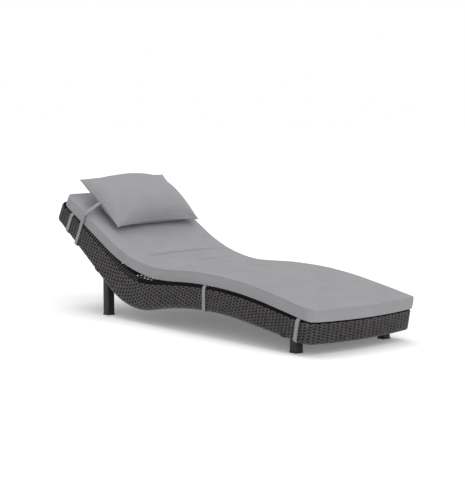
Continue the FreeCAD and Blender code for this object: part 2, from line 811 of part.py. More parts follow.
def pillow_block(inset):
    """The pillow about its own centre, with its skin moved in by an inset."""
    sections = []
    depth = sizes.pillow_depth / 2 - inset
    for ahead, swell, wide in zip(PILLOW_DEPTH_SHARES, PILLOW_SWELL_SHARES, PILLOW_WIDTH_SHARES):
        half = sizes.pillow_width / 2 * wide - 2 * inset
        edge = sizes.pillow_edge_swell * (1 - swell) - inset
        rise = sizes.pillow_top_swell * swell + edge
        drop = sizes.pillow_under_swell * swell + edge
        tips = (Vector(ahead * depth, -half, 0), Vector(ahead * depth, half, 0))
        sections.append(Part.Wire([
            Part.Arc(tips[0], Vector(ahead * depth, 0, rise), tips[1]).toShape(),
            Part.Arc(tips[1], Vector(ahead * depth, 0, -drop), tips[0]).toShape(),
        ]))
    return Part.makeLoft(sections, True, False)


pillow_outside = pillow_block(0)
upright_pillow = pillow_outside.copy()
upright_pillow.rotate(Vector(), ACROSS, -sizes.pillow_tilt)
pillow_sink = -upright_pillow.optimalBoundingBox(False, False).ZMin
pillow_lift = pad_rise + sizes.pillow_gap + pillow_sink
pillow_centre = head_point - back_step * sizes.pillow_distance + above(back_step) * pillow_lift
pillow_centre += ACROSS * sizes.pillow_side_shift
lie = Rotation(back_step, ACROSS * -1, above(back_step), "XZY")
turn = Rotation(UP, sizes.pillow_turn)
lean_back = Rotation(ACROSS, -sizes.pillow_tilt)
pillow_place = Placement(pillow_centre, lie.multiply(turn).multiply(lean_back))
solid("pillow_cover", pillow_outside.cut(pillow_block(sizes.cover_thickness)), pillow_place)
solid("pillow_filling", pillow_block(sizes.cover_thickness + sizes.filling_gap), pillow_place)


# The pillow's strap climbs past the mattress and slants in to the middle of each short seam
pillow_outside.Placement = pillow_place
station = strap_station(sizes.pillow_strap_distance, sizes.pillow_strap_width)
low_edge, high_edge, strap_step, strap_up = station
slice_corners = [
    low_edge - ACROSS * trim_reach,
    low_edge + ACROSS * trim_reach,
    low_edge + (ACROSS + strap_up) * trim_reach,
    low_edge + (strap_up - ACROSS) * trim_reach,
]
slice_face = Part.Face(Part.makePolygon(slice_corners + slice_corners[:1]))
strap_slice = slice_face.extrude(strap_step * sizes.pillow_strap_width)
seams = pillow_outside.common(strap_slice).optimalBoundingBox(False, False)
shoulder = sizes.soft_gap + sizes.mattress_thickness + sizes.strap_gap
pillow_right = [(seams.YMin - sizes.strap_gap, pillow_lift), (-strap_side, shoulder)]
pillow_left = [(seams.YMax + sizes.strap_gap, pillow_lift), (strap_side, shoulder)]
strap(
    "pillow_strap", sizes.pillow_strap_distance, sizes.pillow_strap_width,
    pillow_right, pillow_left, sizes.pillow_travel,
)

# Every feature has to be whole before a file is written
doc.recompute()
for thing in doc.Objects:
    if "Invalid" in thing.State or "Error" in thing.State:
        raise RuntimeError("%s did not build: %s" % (thing.Label, thing.State))
for piece in pieces:
    if piece.Shape.isNull() or not piece.Shape.isValid() or not piece.Shape.Solids:
        raise RuntimeError("%s has no sound solid" % piece.Label)

os.makedirs("parts", exist_ok=True)
for piece in pieces:
    piece.Shape.exportStep(os.path.join("parts", piece.Label + ".step"))
    box = piece.Shape.BoundBox
    print("%-26s solids %2d  volume %10.0f  x %6.0f %6.0f  y %5.0f %5.0f  z %5.0f %5.0f" % (
        piece.Label, len(piece.Shape.Solids), piece.Shape.Volume,
        box.XMin, box.XMax, box.YMin, box.YMax, box.ZMin, box.ZMax,
    ))
whole = Part.makeCompound([piece.Shape for piece in pieces]).BoundBox
print("pieces %d" % len(pieces))
print("whole part x %.1f %.1f y %.1f %.1f z %.1f %.1f" % (
    whole.XMin, whole.XMax, whole.YMin, whole.YMax, whole.ZMin, whole.ZMax,
))
print("slide along %.6f %.6f %.6f" % (back_step.x, back_step.y, back_step.z))
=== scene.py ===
# %% [markdown]
# This lesson dresses a wave-shaped garden lounger over its CAD frame.
# The real one is a welded tube frame, hidden in a skirt and a deck of woven plastic strand.
# A grey mattress is strapped along the deck, and a grey pillow is held on it by a loop of webbing.
# The frame is loaded first, because every piece below takes its place from it.

# %% Load the frame
import json
from math import atan2, cos, exp, pi, radians, sin, sqrt, tan

import bpy
import numpy as np
from mathutils import Matrix, Vector


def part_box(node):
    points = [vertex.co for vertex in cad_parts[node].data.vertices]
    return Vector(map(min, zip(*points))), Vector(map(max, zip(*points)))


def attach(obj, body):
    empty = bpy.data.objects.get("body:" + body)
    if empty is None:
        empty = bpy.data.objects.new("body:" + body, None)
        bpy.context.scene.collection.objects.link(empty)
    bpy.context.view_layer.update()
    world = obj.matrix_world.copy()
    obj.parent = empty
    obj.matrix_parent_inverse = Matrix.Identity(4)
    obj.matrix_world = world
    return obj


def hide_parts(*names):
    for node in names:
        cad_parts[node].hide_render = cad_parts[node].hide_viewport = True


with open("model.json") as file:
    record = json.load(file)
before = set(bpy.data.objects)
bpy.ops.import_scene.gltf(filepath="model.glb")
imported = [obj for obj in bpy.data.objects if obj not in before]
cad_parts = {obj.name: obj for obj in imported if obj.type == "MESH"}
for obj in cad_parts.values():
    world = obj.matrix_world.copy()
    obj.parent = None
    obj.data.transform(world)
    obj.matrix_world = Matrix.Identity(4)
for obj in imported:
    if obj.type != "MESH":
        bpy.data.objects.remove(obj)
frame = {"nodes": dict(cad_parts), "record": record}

scene = bpy.context.scene
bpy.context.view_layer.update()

# %% [markdown]
# The camera stands where the photographer stood, off the foot corner and a little above the deck.
# Its place was solved from the frame's straight edges: a position and three directions.
# A long lens keeps the far side nearly parallel to the near one.

# %% Camera
PHOTO_PLACE = (4.7643, -4.008, 1.012)
PHOTO_AXES = ((0.6495, 0.7604, 0), (-0.0799, 0.0682, 0.9945), (0.7561, -0.6459, 0.1051))


def add_object(name, data):
    """A new object in the scene."""
    thing = bpy.data.objects.new(name, data)
    scene.collection.objects.link(thing)
    return thing


lens = bpy.data.cameras.new("photo_view")
lens.lens = 93.6
lens.sensor_width = 36
lens.clip_end = 300
photo_view = add_object("photo_view", lens)
photo_view.matrix_world = Matrix.Translation(PHOTO_PLACE) @ Matrix(PHOTO_AXES).transposed().to_4x4()
scene.camera = photo_view
print("camera at", [round(v, 2) for v in photo_view.location])

# %% [markdown]
# The side view is three straight runs joined by two arcs: a knee, and a bend below the back.
# Each arc takes a share of the seat run, as in the CAD, so the two files keep the same line.
# Such a line is easiest to follow by its slope, which is steady on a run and changes evenly on an arc.
# Adding up small steps along the slope gives the height at any place, without solving a single corner.

# %% Lines of the side view
HALF_WIDTH = 0.323
FOOT_X, HEAD_LEVEL = 0.93552, 1.857
WAY_STEP = 0.0005
ALL_WAYS = np.arange(-0.3, 2.5, WAY_STEP)


def running_sum(values):
    """Sums of a value given at every step along a line."""
    return np.concatenate([[0], np.cumsum((values[1:] + values[:-1]) / 2) * WAY_STEP])


class WaveLine:
    """A side line that starts at the foot corner: position, height and slope by distance along it."""

    def __init__(self, height, fall, knee, rise, bend, back, knee_share, bend_share):
        """Angles are in degrees, and a share is what an arc takes of the seat run."""
        front, seat, head = radians(fall), -radians(rise), radians(back)
        seat_run = (bend - knee) / cos(seat)
        knee_cut, bend_cut = knee_share * seat_run, bend_share * seat_run
        marks = [knee / cos(front) - knee_cut]
        marks.append(marks[0] + knee_cut / tan((front - seat) / 2) * (front - seat))
        marks.append(marks[1] + seat_run - knee_cut - bend_cut)
        marks.append(marks[2] + bend_cut / tan((head - seat) / 2) * (head - seat))
        self.slope = np.interp(ALL_WAYS, marks, [front, seat, seat, head])
        ahead, climb = running_sum(np.cos(self.slope)), running_sum(np.sin(self.slope))
        self.ahead = ahead - np.interp(0, ALL_WAYS, ahead)
        self.height = climb - np.interp(0, ALL_WAYS, climb) + height

    def at(self, way):
        """Points on the middle plane, and the upward normals there."""
        slope = np.interp(way, ALL_WAYS, self.slope)
        level = np.interp(way, ALL_WAYS, self.ahead)
        points = np.stack([FOOT_X - level, 0 * level, np.interp(way, ALL_WAYS, self.height)], -1)
        return points, np.stack([np.sin(slope), 0 * slope, np.cos(slope)], -1)

    def spot(self, way):
        """One point on the middle plane, the upward normal and the step towards the foot."""
        (point,), (normal,) = self.at(np.array([way]))
        return point, normal, np.array([normal[2], 0, -normal[0]])

    def way_at(self, level):
        """Distance along the line at a level distance from the foot corner."""
        return float(np.interp(level, self.ahead, ALL_WAYS))


DECK_SHAPE = dict(height=0.1455, fall=10.4, knee=0.554, rise=3.1, bend=1.222, back=28.6, knee_share=0.46)
deck_line = WaveLine(**DECK_SHAPE, bend_share=0.19)
pad_line = WaveLine(**DECK_SHAPE, bend_share=0.41)
skirt_line = WaveLine(
    height=0.0485, fall=7.3, knee=0.723, rise=10.3, bend=1.273, back=34.4, knee_share=0.55, bend_share=0.33
)
HEAD_WAY, PAD_HEAD_WAY = (line.way_at(HEAD_LEVEL) for line in (deck_line, pad_line))
print("deck runs", round(HEAD_WAY, 3), "m from corner to corner")

# %% [markdown]
# Cloth, strand and webbing all show a fine grain, so one node group makes it for all.
# Threads along all three axes are added up: on any face two of them cross, so the weave needs no UV map.
# The group puts out a height for the bump and a slow tone for the colour; the shader stays in each material.

# %% Thread grain
PATCH_PART, FLECK_PART = 0.6, 0.4


def set_inputs(node, **values):
    """A node with some of its inputs set by name."""
    for name, value in values.items():
        node.inputs[name.replace("_", " ")].default_value = value
    return node


def add_node(tree, kind, **values):
    """A new node with some of its inputs set."""
    return set_inputs(tree.nodes.new(kind), **values)


def maths(tree, operation, first, second):
    """A math node fed by sockets or plain numbers."""
    node = tree.nodes.new("ShaderNodeMath")
    node.operation = operation
    for slot, value in zip(node.inputs, (first, second)):
        if isinstance(value, (int, float)):
            slot.default_value = value
        else:
            tree.links.new(value, slot)
    return node.outputs[0]


grain = bpy.data.node_groups.new("thread_grain", "ShaderNodeTree")
for name, kind, way in (
    ("Vector", "Vector", "INPUT"), ("Threads", "Float", "INPUT"), ("Patch", "Float", "INPUT"),
    ("Height", "Float", "OUTPUT"), ("Tone", "Float", "OUTPUT"),
):
    grain.interface.new_socket(name, in_out=way, socket_type="NodeSocket" + kind)
link = grain.links.new
grain_in = grain.nodes.new("NodeGroupInput")
grain_out = grain.nodes.new("NodeGroupOutput")
heights = []
for axis in ("X", "Y", "Z"):
    threads = add_node(grain, "ShaderNodeTexWave", Distortion=0.6, Detail=1.0, Detail_Scale=2.0)
    threads.bands_direction = axis
    link(grain_in.outputs["Vector"], threads.inputs["Vector"])
    link(grain_in.outputs["Threads"], threads.inputs["Scale"])
    heights.append(threads.outputs["Fac"])
crossed = maths(grain, "ADD", maths(grain, "ADD", heights[0], heights[1]), heights[2])
link(crossed, grain_out.inputs["Height"])
patches = add_node(grain, "ShaderNodeTexNoise", Detail=4.0, Roughness=0.6)
link(grain_in.outputs["Vector"], patches.inputs["Vector"])
link(grain_in.outputs["Patch"], patches.inputs["Scale"])
flecks = add_node(grain, "ShaderNodeTexNoise", Scale=420.0, Detail=2.0)
link(grain_in.outputs["Vector"], flecks.inputs["Vector"])
slow = maths(grain, "MULTIPLY", patches.outputs["Fac"], PATCH_PART)
fine = maths(grain, "MULTIPLY", flecks.outputs["Fac"], FLECK_PART)
link(maths(grain, "ADD", slow, fine), grain_out.inputs["Tone"])
print("thread grain has", len(grain.nodes), "nodes")

# %% [markdown]
# Each finish is a dark and a light colour that the grain's tone runs between, a roughness and a bump.
# Even numbers are set straight on the shader, because only what changes over the surface needs a link.
# A grain's four marks are its threads, its patches, and the bump's strength and depth.
# The strand is a satin plastic, the cloth is dull with a slight sheen, and the tubes are powder-coated.

# %% Finishes
DARK_TONE, LIGHT_TONE = 0.36, 0.64
STRAND_GRAIN, CLOTH_GRAIN = (160, 34, 0.25, 0.0004), (250, 9, 0.35, 0.0003)
WEBBING_GRAIN, TUBE_GRAIN = (330, 60, 0.5, 0.0004), (90, 60, 0.12, 0.0002)
GLIDE_GRAIN, ZINC_GRAIN = (120, 50, 0.2, 0.0003), (140, 80, 0.1, 0.0001)


def finish(name, dark, light, roughness, marks, sheen=0.0, metal=0.0, specular=0.5):
    """A material whose colour and bump come from the thread grain."""
    threads, patch, bump, depth = marks
    material = bpy.data.materials.new(name)
    material.use_nodes = True
    tree = material.node_tree
    link = tree.links.new
    shader = set_inputs(tree.nodes["Principled BSDF"], Roughness=roughness, Metallic=metal)
    set_inputs(shader, Specular_IOR_Level=specular, Sheen_Weight=sheen, Sheen_Roughness=0.5)
    place = tree.nodes.new("ShaderNodeTexCoord")
    weave = tree.nodes.new("ShaderNodeGroup")
    weave.node_tree = grain
    set_inputs(weave, Threads=threads, Patch=patch)
    link(place.outputs["Object"], weave.inputs["Vector"])
    ramp = tree.nodes.new("ShaderNodeValToRGB")
    for stop, position, colour in zip(ramp.color_ramp.elements, (DARK_TONE, LIGHT_TONE), (dark, light)):
        stop.position = position
        stop.color = (*colour, 1)
    link(weave.outputs["Tone"], ramp.inputs["Fac"])
    link(ramp.outputs["Color"], shader.inputs["Base Color"])
    relief = add_node(tree, "ShaderNodeBump", Strength=bump, Distance=depth)
    link(weave.outputs["Height"], relief.inputs["Height"])
    link(relief.outputs["Normal"], shader.inputs["Normal"])
    return material


strand_finish = finish(
    "brown_strand", (0.019, 0.0165, 0.0175), (0.071, 0.0625, 0.065), 0.42, STRAND_GRAIN, specular=0.40
)
# This strand is painted shade: it turns the skirt's top rows into the shadow line under the mattress, and its
# stakes and lining into the dark gaps between rows.
painted_shade_finish = finish(
    "painted_shade_strand", (0.004, 0.0035, 0.0035), (0.012, 0.010, 0.010), 0.8, STRAND_GRAIN, specular=0.05
)
# The deck strand is darker than the skirt's; its low tone is partly painted shade, set so the leg windings
# come out as dark as a leg in the shade under the seat.
deck_and_shade_finish = finish(
    "deck_strand", (0.008, 0.0075, 0.0075), (0.030, 0.027, 0.028), 0.45, STRAND_GRAIN, specular=0.35
)
cloth_finish = finish(
    "grey_cloth", (0.285, 0.287, 0.300), (0.317, 0.319, 0.332), 0.92, CLOTH_GRAIN, sheen=0.10, specular=0.2
)
webbing_finish = finish(
    "grey_webbing", (0.275, 0.277, 0.284), (0.32, 0.322, 0.33), 0.85, WEBBING_GRAIN, sheen=0.1, specular=0.25
)
tube_finish = finish("powder_coat", (0.018, 0.016, 0.016), (0.030, 0.027, 0.027), 0.5, TUBE_GRAIN)
glide_finish = finish("glide_rubber", (0.014, 0.014, 0.014), (0.024, 0.024, 0.024), 0.7, GLIDE_GRAIN)
zinc_finish = finish("zinc_plate", (0.50, 0.50, 0.52), (0.62, 0.62, 0.64), 0.34, ZINC_GRAIN, metal=1.0)
print("materials:", len(bpy.data.materials))

# %% [markdown]
# The room is a pale floor under an even sky.
# What the camera or a reflection sees of the floor is brighter, and the sky is white, so the two meet.
# The lounger itself is lit at a plain level, and its shadow stays on the floor.

# %% Floor
FLOOR_REACH, FLOOR_TONE, SEEN_TONE, SHADOW_LIFT = 60, 0.92, 0.965, 0.16


def seen_ray(tree):
    """A factor: 1 for what is seen, straight or in a reflection, and 0 for light."""
    path = tree.nodes.new("ShaderNodeLightPath")
    seen = maths(tree, "MAXIMUM", path.outputs["Is Camera Ray"], path.outputs["Is Transmission Ray"])
    return maths(tree, "MAXIMUM", seen, path.outputs["Is Glossy Ray"])


floor_mesh = bpy.data.meshes.new("floor")
floor_spots = [(x * FLOOR_REACH, y * FLOOR_REACH, 0) for x, y in ((-1, -1), (1, -1), (1, 1), (-1, 1))]
floor_mesh.from_pydata(floor_spots, [], [(0, 1, 2, 3)])
floor = add_object("floor", floor_mesh)
pale = bpy.data.materials.new("pale_floor")
pale.use_nodes = True
tree = pale.node_tree
tree.nodes.clear()
link = tree.links.new
ground = add_node(tree, "ShaderNodeBsdfDiffuse", Color=(FLOOR_TONE, FLOOR_TONE, FLOOR_TONE, 1))
bright = add_node(tree, "ShaderNodeBsdfDiffuse", Color=(SEEN_TONE, SEEN_TONE, SEEN_TONE, 1))
glow = add_node(tree, "ShaderNodeEmission", Color=(1, 1, 1, 1), Strength=SHADOW_LIFT)
shown = tree.nodes.new("ShaderNodeAddShader")
link(bright.outputs["BSDF"], shown.inputs[0])
link(glow.outputs["Emission"], shown.inputs[1])
pick = tree.nodes.new("ShaderNodeMixShader")
link(seen_ray(tree), pick.inputs["Fac"])
link(ground.outputs["BSDF"], pick.inputs[1])
link(shown.outputs["Shader"], pick.inputs[2])
surface = tree.nodes.new("ShaderNodeOutputMaterial")
link(pick.outputs["Shader"], surface.inputs["Surface"])
floor_mesh.materials.append(pale)
print("floor is", 2 * FLOOR_REACH, "m across")

# %% [markdown]
# A soft lamp stands high over the head, and a very broad one off the foot fills in without a hard shadow.

# %% Sky and lamps
SKY_LIGHT = 0.40
sky = bpy.data.worlds.new("studio")
scene.world = sky
sky.use_nodes = True
tree = sky.node_tree
link = tree.links.new
back = set_inputs(tree.nodes["Background"], Color=(1, 1, 1, 1))
level = add_node(tree, "ShaderNodeMix", A=SKY_LIGHT, B=1.0)
link(seen_ray(tree), level.inputs["Factor"])
link(level.outputs["Result"], back.inputs["Strength"])

for name, energy, angle, way in (
    ("head_lamp", 1.12, 45, (0.27, -0.05, -1.0)),
    ("foot_lamp", 2.00, 95, (-0.92, 0.36, -0.45)),
):
    sun = bpy.data.lights.new(name, "SUN")
    sun.energy = energy
    sun.angle = radians(angle)
    lamp = add_object(name, sun)
    lamp.rotation_euler = Vector(way).to_track_quat("-Z", "Y").to_euler()
    print(name, energy, "at", angle, "degrees wide")
scene.view_settings.view_transform = "Standard"

# %% [markdown]
# Woven strand is a set of flat ribbons, so one helper turns rings of points into closed tubes.
# A tube could be a curve with a bevel, but a ribbon has to keep its flat side to the panel at every place.
# Giving each ring its own directions does that, and joins thousands of faces in one mesh.

# %% Ribbon builder
RIBBON_RING = np.array([
    (-0.5, 0.0), (-0.36, 0.42), (0.0, 0.5), (0.36, 0.42),
    (0.5, 0.0), (0.36, -0.42), (0.0, -0.5), (-0.36, -0.42),
])
ACROSS, UPRIGHT = np.array([0.0, 1.0, 0.0]), np.array([0.0, 0.0, 1.0])


def ribbon(centre, across, outward, width, thickness, section=RIBBON_RING):
    """Rings of points of a flat ribbon; its directions are for all of it or for each point."""
    ring = section * (1.0, thickness)
    across, outward = (np.broadcast_to(way, centre.shape)[:, None] for way in (across, outward))
    width = np.broadcast_to(width, len(centre))[:, None, None]
    return centre[:, None] + across * (ring[None, :, :1] * width) + outward * ring[None, :, 1:]


def tubes_object(name, tubes, material, closed=False):
    """One smooth mesh object of many tubes; a closed tube joins its last ring to its first."""
    points, faces, start = [], [], 0
    for rings in tubes:
        count, around = rings.shape[:2]
        index = start + np.arange(count * around).reshape(count, around)
        below = index if closed else index[:-1]
        above = np.roll(index, -1, 0) if closed else index[1:]
        quads = np.stack([below, np.roll(below, -1, 1), np.roll(above, -1, 1), above], -1)
        faces += quads.reshape(-1, 4).tolist()
        if not closed:
            faces += [index[0][::-1].tolist(), index[-1].tolist()]
        points.append(rings.reshape(-1, 3))
        start += count * around
    return smooth_object(name, np.concatenate(points), faces, material)


def smooth_object(name, points, faces, material):
    """A smooth mesh object with one material."""
    mesh = bpy.data.meshes.new(name)
    mesh.from_pydata(points.tolist(), [], faces)
    mesh.polygons.foreach_set("use_smooth", [True] * len(mesh.polygons))
    mesh.materials.append(material)
    return add_object(name, mesh)


def places_of(mesh):
    """The points of a mesh."""
    return np.array([v.co for v in mesh.vertices])


def move_points(mesh, points):
    """Moves the points of a mesh."""
    mesh.vertices.foreach_set("co", points.ravel())
    mesh.update()


def unit(vectors):
    """Vectors of length 1 with the same directions."""
    return vectors / np.linalg.norm(vectors, axis=-1, keepdims=True)


print("ribbon ring has", len(RIBBON_RING), "points")

# %% [markdown]
# The skirt is woven in rows that follow the wave, over and under upright stakes, and rolls round both rails.
# A flat panel with a bump map would look smooth at its edges, so the strands are modelled one by one.
# Each row keeps its share of the skirt's depth, and the lowest ones hardly swing, so the edge is smooth.
# The stakes, a lining behind them and the uppermost rows are in a darker strand: painted shade in the gaps
# between rows, and a painted shadow line under the mattress.

# %% Skirt weaving
ROWS, CALM_ROWS, BAY_POINTS = 18, 5, 5
WALL_MIDDLE, SWING, LINING = -0.0017, 0.0014, -0.0048
STRAND_THICKNESS, STAKE_THICKNESS = 0.0020, 0.0008
TOP_ROLL, LOW_ROLL = 0.0155, 0.011
ROW_FILL, WAVE_POWER = 0.92, 0.6
STAKE_SHARES, STAKE_AHEAD = np.linspace(0.01, 0.99, 16), 0.002


def skirt_section(top, bottom, outward, share):
    """Points at a share of the skirt's girth, their outward and upward directions, and the girth."""
    rise = top - bottom
    depth = np.linalg.norm(rise, axis=-1)
    upright = rise / depth[:, None]
    low, high = LOW_ROLL * pi / 2, TOP_ROLL * pi / 2
    wall = depth - LOW_ROLL - TOP_ROLL
    girth = share * (low + wall + high)
    under = np.minimum(girth, low) / LOW_ROLL - pi / 2
    over = np.clip(girth - low - wall, 0, high) / TOP_ROLL
    inset = LOW_ROLL * (np.cos(under) - 1) + TOP_ROLL * (np.cos(over) - 1)
    lift = LOW_ROLL * (1 + np.sin(under)) + np.clip(girth - low, 0, wall) + TOP_ROLL * np.sin(over)
    turn = (under + over)[:, None]
    points = bottom + upright * lift[:, None] + outward * inset[:, None]
    normal = outward * np.cos(turn) + upright * np.sin(turn)
    across = upright * np.cos(turn) - outward * np.sin(turn)
    return points, normal, across, low + wall + high


def at_share(line, share):
    """The place at a share of a line of points."""
    shares = np.linspace(0, 1, len(line))
    return np.array([np.interp(share, shares, line[:, axis]) for axis in range(3)])


def weave_skirt(top, bottom, outward, bays, phase, stake_width):
    """Row ribbons of a panel, and the ribbons of its stakes and lining; a bay has one stake."""
    share = np.linspace(0, 1, len(top))
    rows, stakes = [], []
    for row in range(ROWS):
        level = np.full(len(top), (row + 0.5) / ROWS)
        points, normal, across, girth = skirt_section(top, bottom, outward, level)
        wave = np.sin(pi * (share * bays + row + phase))
        wave = np.sign(wave) * np.abs(wave) ** WAVE_POWER * min((row + 1) / CALM_ROWS, 1)
        centre = points + normal * (WALL_MIDDLE + SWING * wave)[:, None]
        rows.append(ribbon(centre, across, normal, girth / ROWS * ROW_FILL, STRAND_THICKNESS))
    bay = np.linalg.norm(np.diff(top, axis=0), axis=1).sum() / bays
    for stake in (np.arange(bays) + 0.5) / bays:
        here = [at_share(line, stake) for line in (top, bottom, outward)]
        spread = [np.repeat(place[None], len(STAKE_SHARES), 0) for place in here]
        points, normal, _, _ = skirt_section(*spread, STAKE_SHARES)
        along = unit(at_share(top, stake + STAKE_AHEAD) - here[0])
        for depth, width in ((WALL_MIDDLE, stake_width), (LINING, bay)):
            stakes.append(ribbon(points + normal * depth, along, normal, width, STAKE_THICKNESS))
    return rows, stakes


def skirt_object(name, rows, stakes, shade_rows):
    """A woven panel, with its uppermost rows, its stakes and its lining in the strand of painted shade."""
    tubes = rows + stakes
    panel = tubes_object(name, tubes, strand_finish)
    panel.data.materials.append(painted_shade_finish)
    # Painted shade: the uppermost rows, the stakes and the lining take the dark strand.
    dark = np.arange(len(tubes)) >= len(rows) - shade_rows
    faces = [(len(tube) - 1) * tube.shape[1] + 2 for tube in tubes]
    panel.data.polygons.foreach_set("material_index", np.repeat(dark.astype(np.int32), faces))
    return panel


print("skirts of", ROWS, "rows")

# %% [markdown]
# In plan both ends bow out between rounded corners, and the side panels stop where those start.
# Below, the skirt's own line is cut by the plane that is square to the deck there.

# %% Bowed ends
FOOT_BOW, HEAD_BOW, END_CORNER = 0.028, 0.015, 0.043
SKIRT_WAYS = np.arange(-0.1, 2.4, WAY_STEP)
RULED_OUT = 10


def bow_radius(bow):
    """Radius of an end that bows out by so much over the lounger's width."""
    return (HALF_WIDTH**2 + bow**2) / (2 * bow)


def end_curve(bow, count):
    """Plan of a bowed end: ahead, sideways, the angle it faces and where its corners start."""
    radius = bow_radius(bow)
    middle = bow - radius
    side = HALF_WIDTH - END_CORNER
    cut = middle + sqrt((radius - END_CORNER) ** 2 - side**2)
    lean = atan2(side, cut - middle)
    round_corner = END_CORNER * (pi / 2 - lean)
    marks = np.cumsum([0, round_corner, 2 * radius * lean, round_corner])
    way = np.linspace(0, marks[-1], count)
    angle = np.interp(way, marks, [-pi / 2, -lean, lean, pi / 2])
    on_bow = np.abs(angle) <= lean
    ahead = np.where(on_bow, middle + radius * np.cos(angle), cut + END_CORNER * np.cos(angle))
    in_corner = np.sign(angle) * side + END_CORNER * np.sin(angle)
    return ahead, np.where(on_bow, radius * np.sin(angle), in_corner), angle, cut


def skirt_way(deck_way):
    """Where the skirt's lower line meets the plane square to the deck at a place."""
    point, normal, to_foot = deck_line.spot(deck_way)
    gaps = skirt_line.at(SKIRT_WAYS)[0] - point
    miss = np.abs(gaps @ to_foot) + RULED_OUT * (gaps @ normal > 0)
    return SKIRT_WAYS[np.argmin(miss)]


foot_cut, head_cut = (end_curve(bow, 2)[-1] for bow in (FOOT_BOW, HEAD_BOW))
deck_ends = (-foot_cut, HEAD_WAY + head_cut)
skirt_ends = (skirt_way(deck_ends[0]), skirt_way(deck_ends[1]))
print("side panels end at", [round(way, 3) for way in deck_ends])

# %% [markdown]
# The side panels hang from the deck's line to the skirt's; the end panels follow the bows, as deep as they.

# %% Four skirts
# The last count of each line is how many top rows are in painted shade, as the shadow line under the
# mattress.
SIDE_BAYS, SIDE_STAKE, SIDE_SHADE_ROWS = 88, 0.009, 3
END_BAYS, END_STAKE, END_SHADE_ROWS = 29, 0.0065, 2
skirts = []
count = SIDE_BAYS * BAY_POINTS + 1
for name, side in (("left", 1), ("right", -1)):
    top, _ = deck_line.at(np.linspace(*deck_ends, count))
    bottom, _ = skirt_line.at(np.linspace(*skirt_ends, count))
    top[:, 1] = bottom[:, 1] = side * HALF_WIDTH
    woven = weave_skirt(top, bottom, np.tile(side * ACROSS, (count, 1)), SIDE_BAYS, 0, SIDE_STAKE)
    skirts.append((skirt_object(name + "_skirt", *woven, SIDE_SHADE_ROWS), name + "_side_weave"))

count = END_BAYS * BAY_POINTS + 1
bows = (("foot", 1, 0.0, FOOT_BOW), ("head", -1, HEAD_WAY, HEAD_BOW))
for end, (name, facing, way, bow) in enumerate(bows):
    corner, normal, to_foot = deck_line.spot(way)
    forward = facing * to_foot
    depth = np.linalg.norm(deck_line.spot(deck_ends[end])[0] - skirt_line.spot(skirt_ends[end])[0])
    ahead, sideways, angle, _ = end_curve(bow, count)
    top = corner + forward * ahead[:, None] + ACROSS * sideways[:, None]
    outward = forward * np.cos(angle)[:, None] + ACROSS * np.sin(angle)[:, None]
    woven = weave_skirt(top, top - normal * depth, outward, END_BAYS, 1, END_STAKE)
    skirts.append((skirt_object(name + "_skirt", *woven, END_SHADE_ROWS), name + "_end_weave"))
for panel, node in skirts:
    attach(panel, "lounger")
    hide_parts(node)
    print(panel.name, len(panel.data.polygons), "faces")

# %% [markdown]
# The deck is woven straight across from rail to rail, over stakes that run the length of the lounger.
# It shows only in the shadow under the mattress's bend and from below, but there its rows catch the light.
# The same ribbons are used, a little wider, as a deck carries more.

# %% Deck weaving
DECK_Y = HALF_WIDTH - TOP_ROLL
DECK_PITCH, DECK_FILL, DECK_WAVE_POWER, DECK_LEAST = 0.0135, 0.97, 0.7, 0.03
DECK_FOOT_GAP, DECK_HEAD_GAP = 0.006, 0.005
DECK_BAYS, DECK_BAY_POINTS = 15, 4
DECK_STAKE, STAKE_REACH, STAKE_POINTS = 0.012, 0.02, 180


def deck_half_width(way):
    """How far the deck reaches to each side at a place along it."""
    half = DECK_Y
    curl = END_CORNER - TOP_ROLL
    for beyond, bow, cut in ((-way, FOOT_BOW, foot_cut), (way - HEAD_WAY, HEAD_BOW, head_cut)):
        if beyond > -END_CORNER:
            radius = bow_radius(bow)
            left = (radius - TOP_ROLL) ** 2 - (beyond - bow + radius) ** 2
            past = min(max(beyond - cut, 0), curl)
            half = min(half, sqrt(max(left, 0.0)), DECK_Y - curl + sqrt(curl**2 - past**2))
    return half


first_way = -FOOT_BOW + TOP_ROLL + DECK_FOOT_GAP
last_way = HEAD_WAY + HEAD_BOW - TOP_ROLL - DECK_HEAD_GAP
tubes = []
for row, way in enumerate(np.arange(first_way, last_way, DECK_PITCH)):
    half = deck_half_width(way)
    if half < DECK_LEAST:
        continue
    y = np.linspace(-half, half, DECK_BAYS * DECK_BAY_POINTS + 1)
    point, normal, to_foot = deck_line.spot(way)
    wave = np.sin(pi * ((y / DECK_Y + 1) / 2 * DECK_BAYS + row))
    wave = np.sign(wave) * np.abs(wave) ** DECK_WAVE_POWER
    centre = point + ACROSS * y[:, None] + normal * (WALL_MIDDLE + SWING * wave)[:, None]
    tubes.append(ribbon(centre, to_foot, normal, DECK_PITCH * DECK_FILL, STRAND_THICKNESS))
stake_ends = (deck_ends[0] - STAKE_REACH, deck_ends[1] + STAKE_REACH)
points, normal = deck_line.at(np.linspace(*stake_ends, STAKE_POINTS))
for stake in (np.arange(DECK_BAYS) + 0.5) / DECK_BAYS * 2 - 1:
    points[:, 1] = stake * DECK_Y
    tubes.append(ribbon(points + normal * WALL_MIDDLE, ACROSS, normal, DECK_STAKE, STAKE_THICKNESS))
deck = tubes_object("woven_deck", tubes, deck_and_shade_finish)
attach(deck, "lounger")
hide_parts("deck_weave")
print("deck:", len(tubes), "strands")

# %% [markdown]
# Along the back, where the deck carries most, a strand binds it to the side rail in even turns.
# In the photograph these turns show as a comb under the edge of the mattress.
# Each starts on the deck, goes over the rail's roll and is tucked in below it.

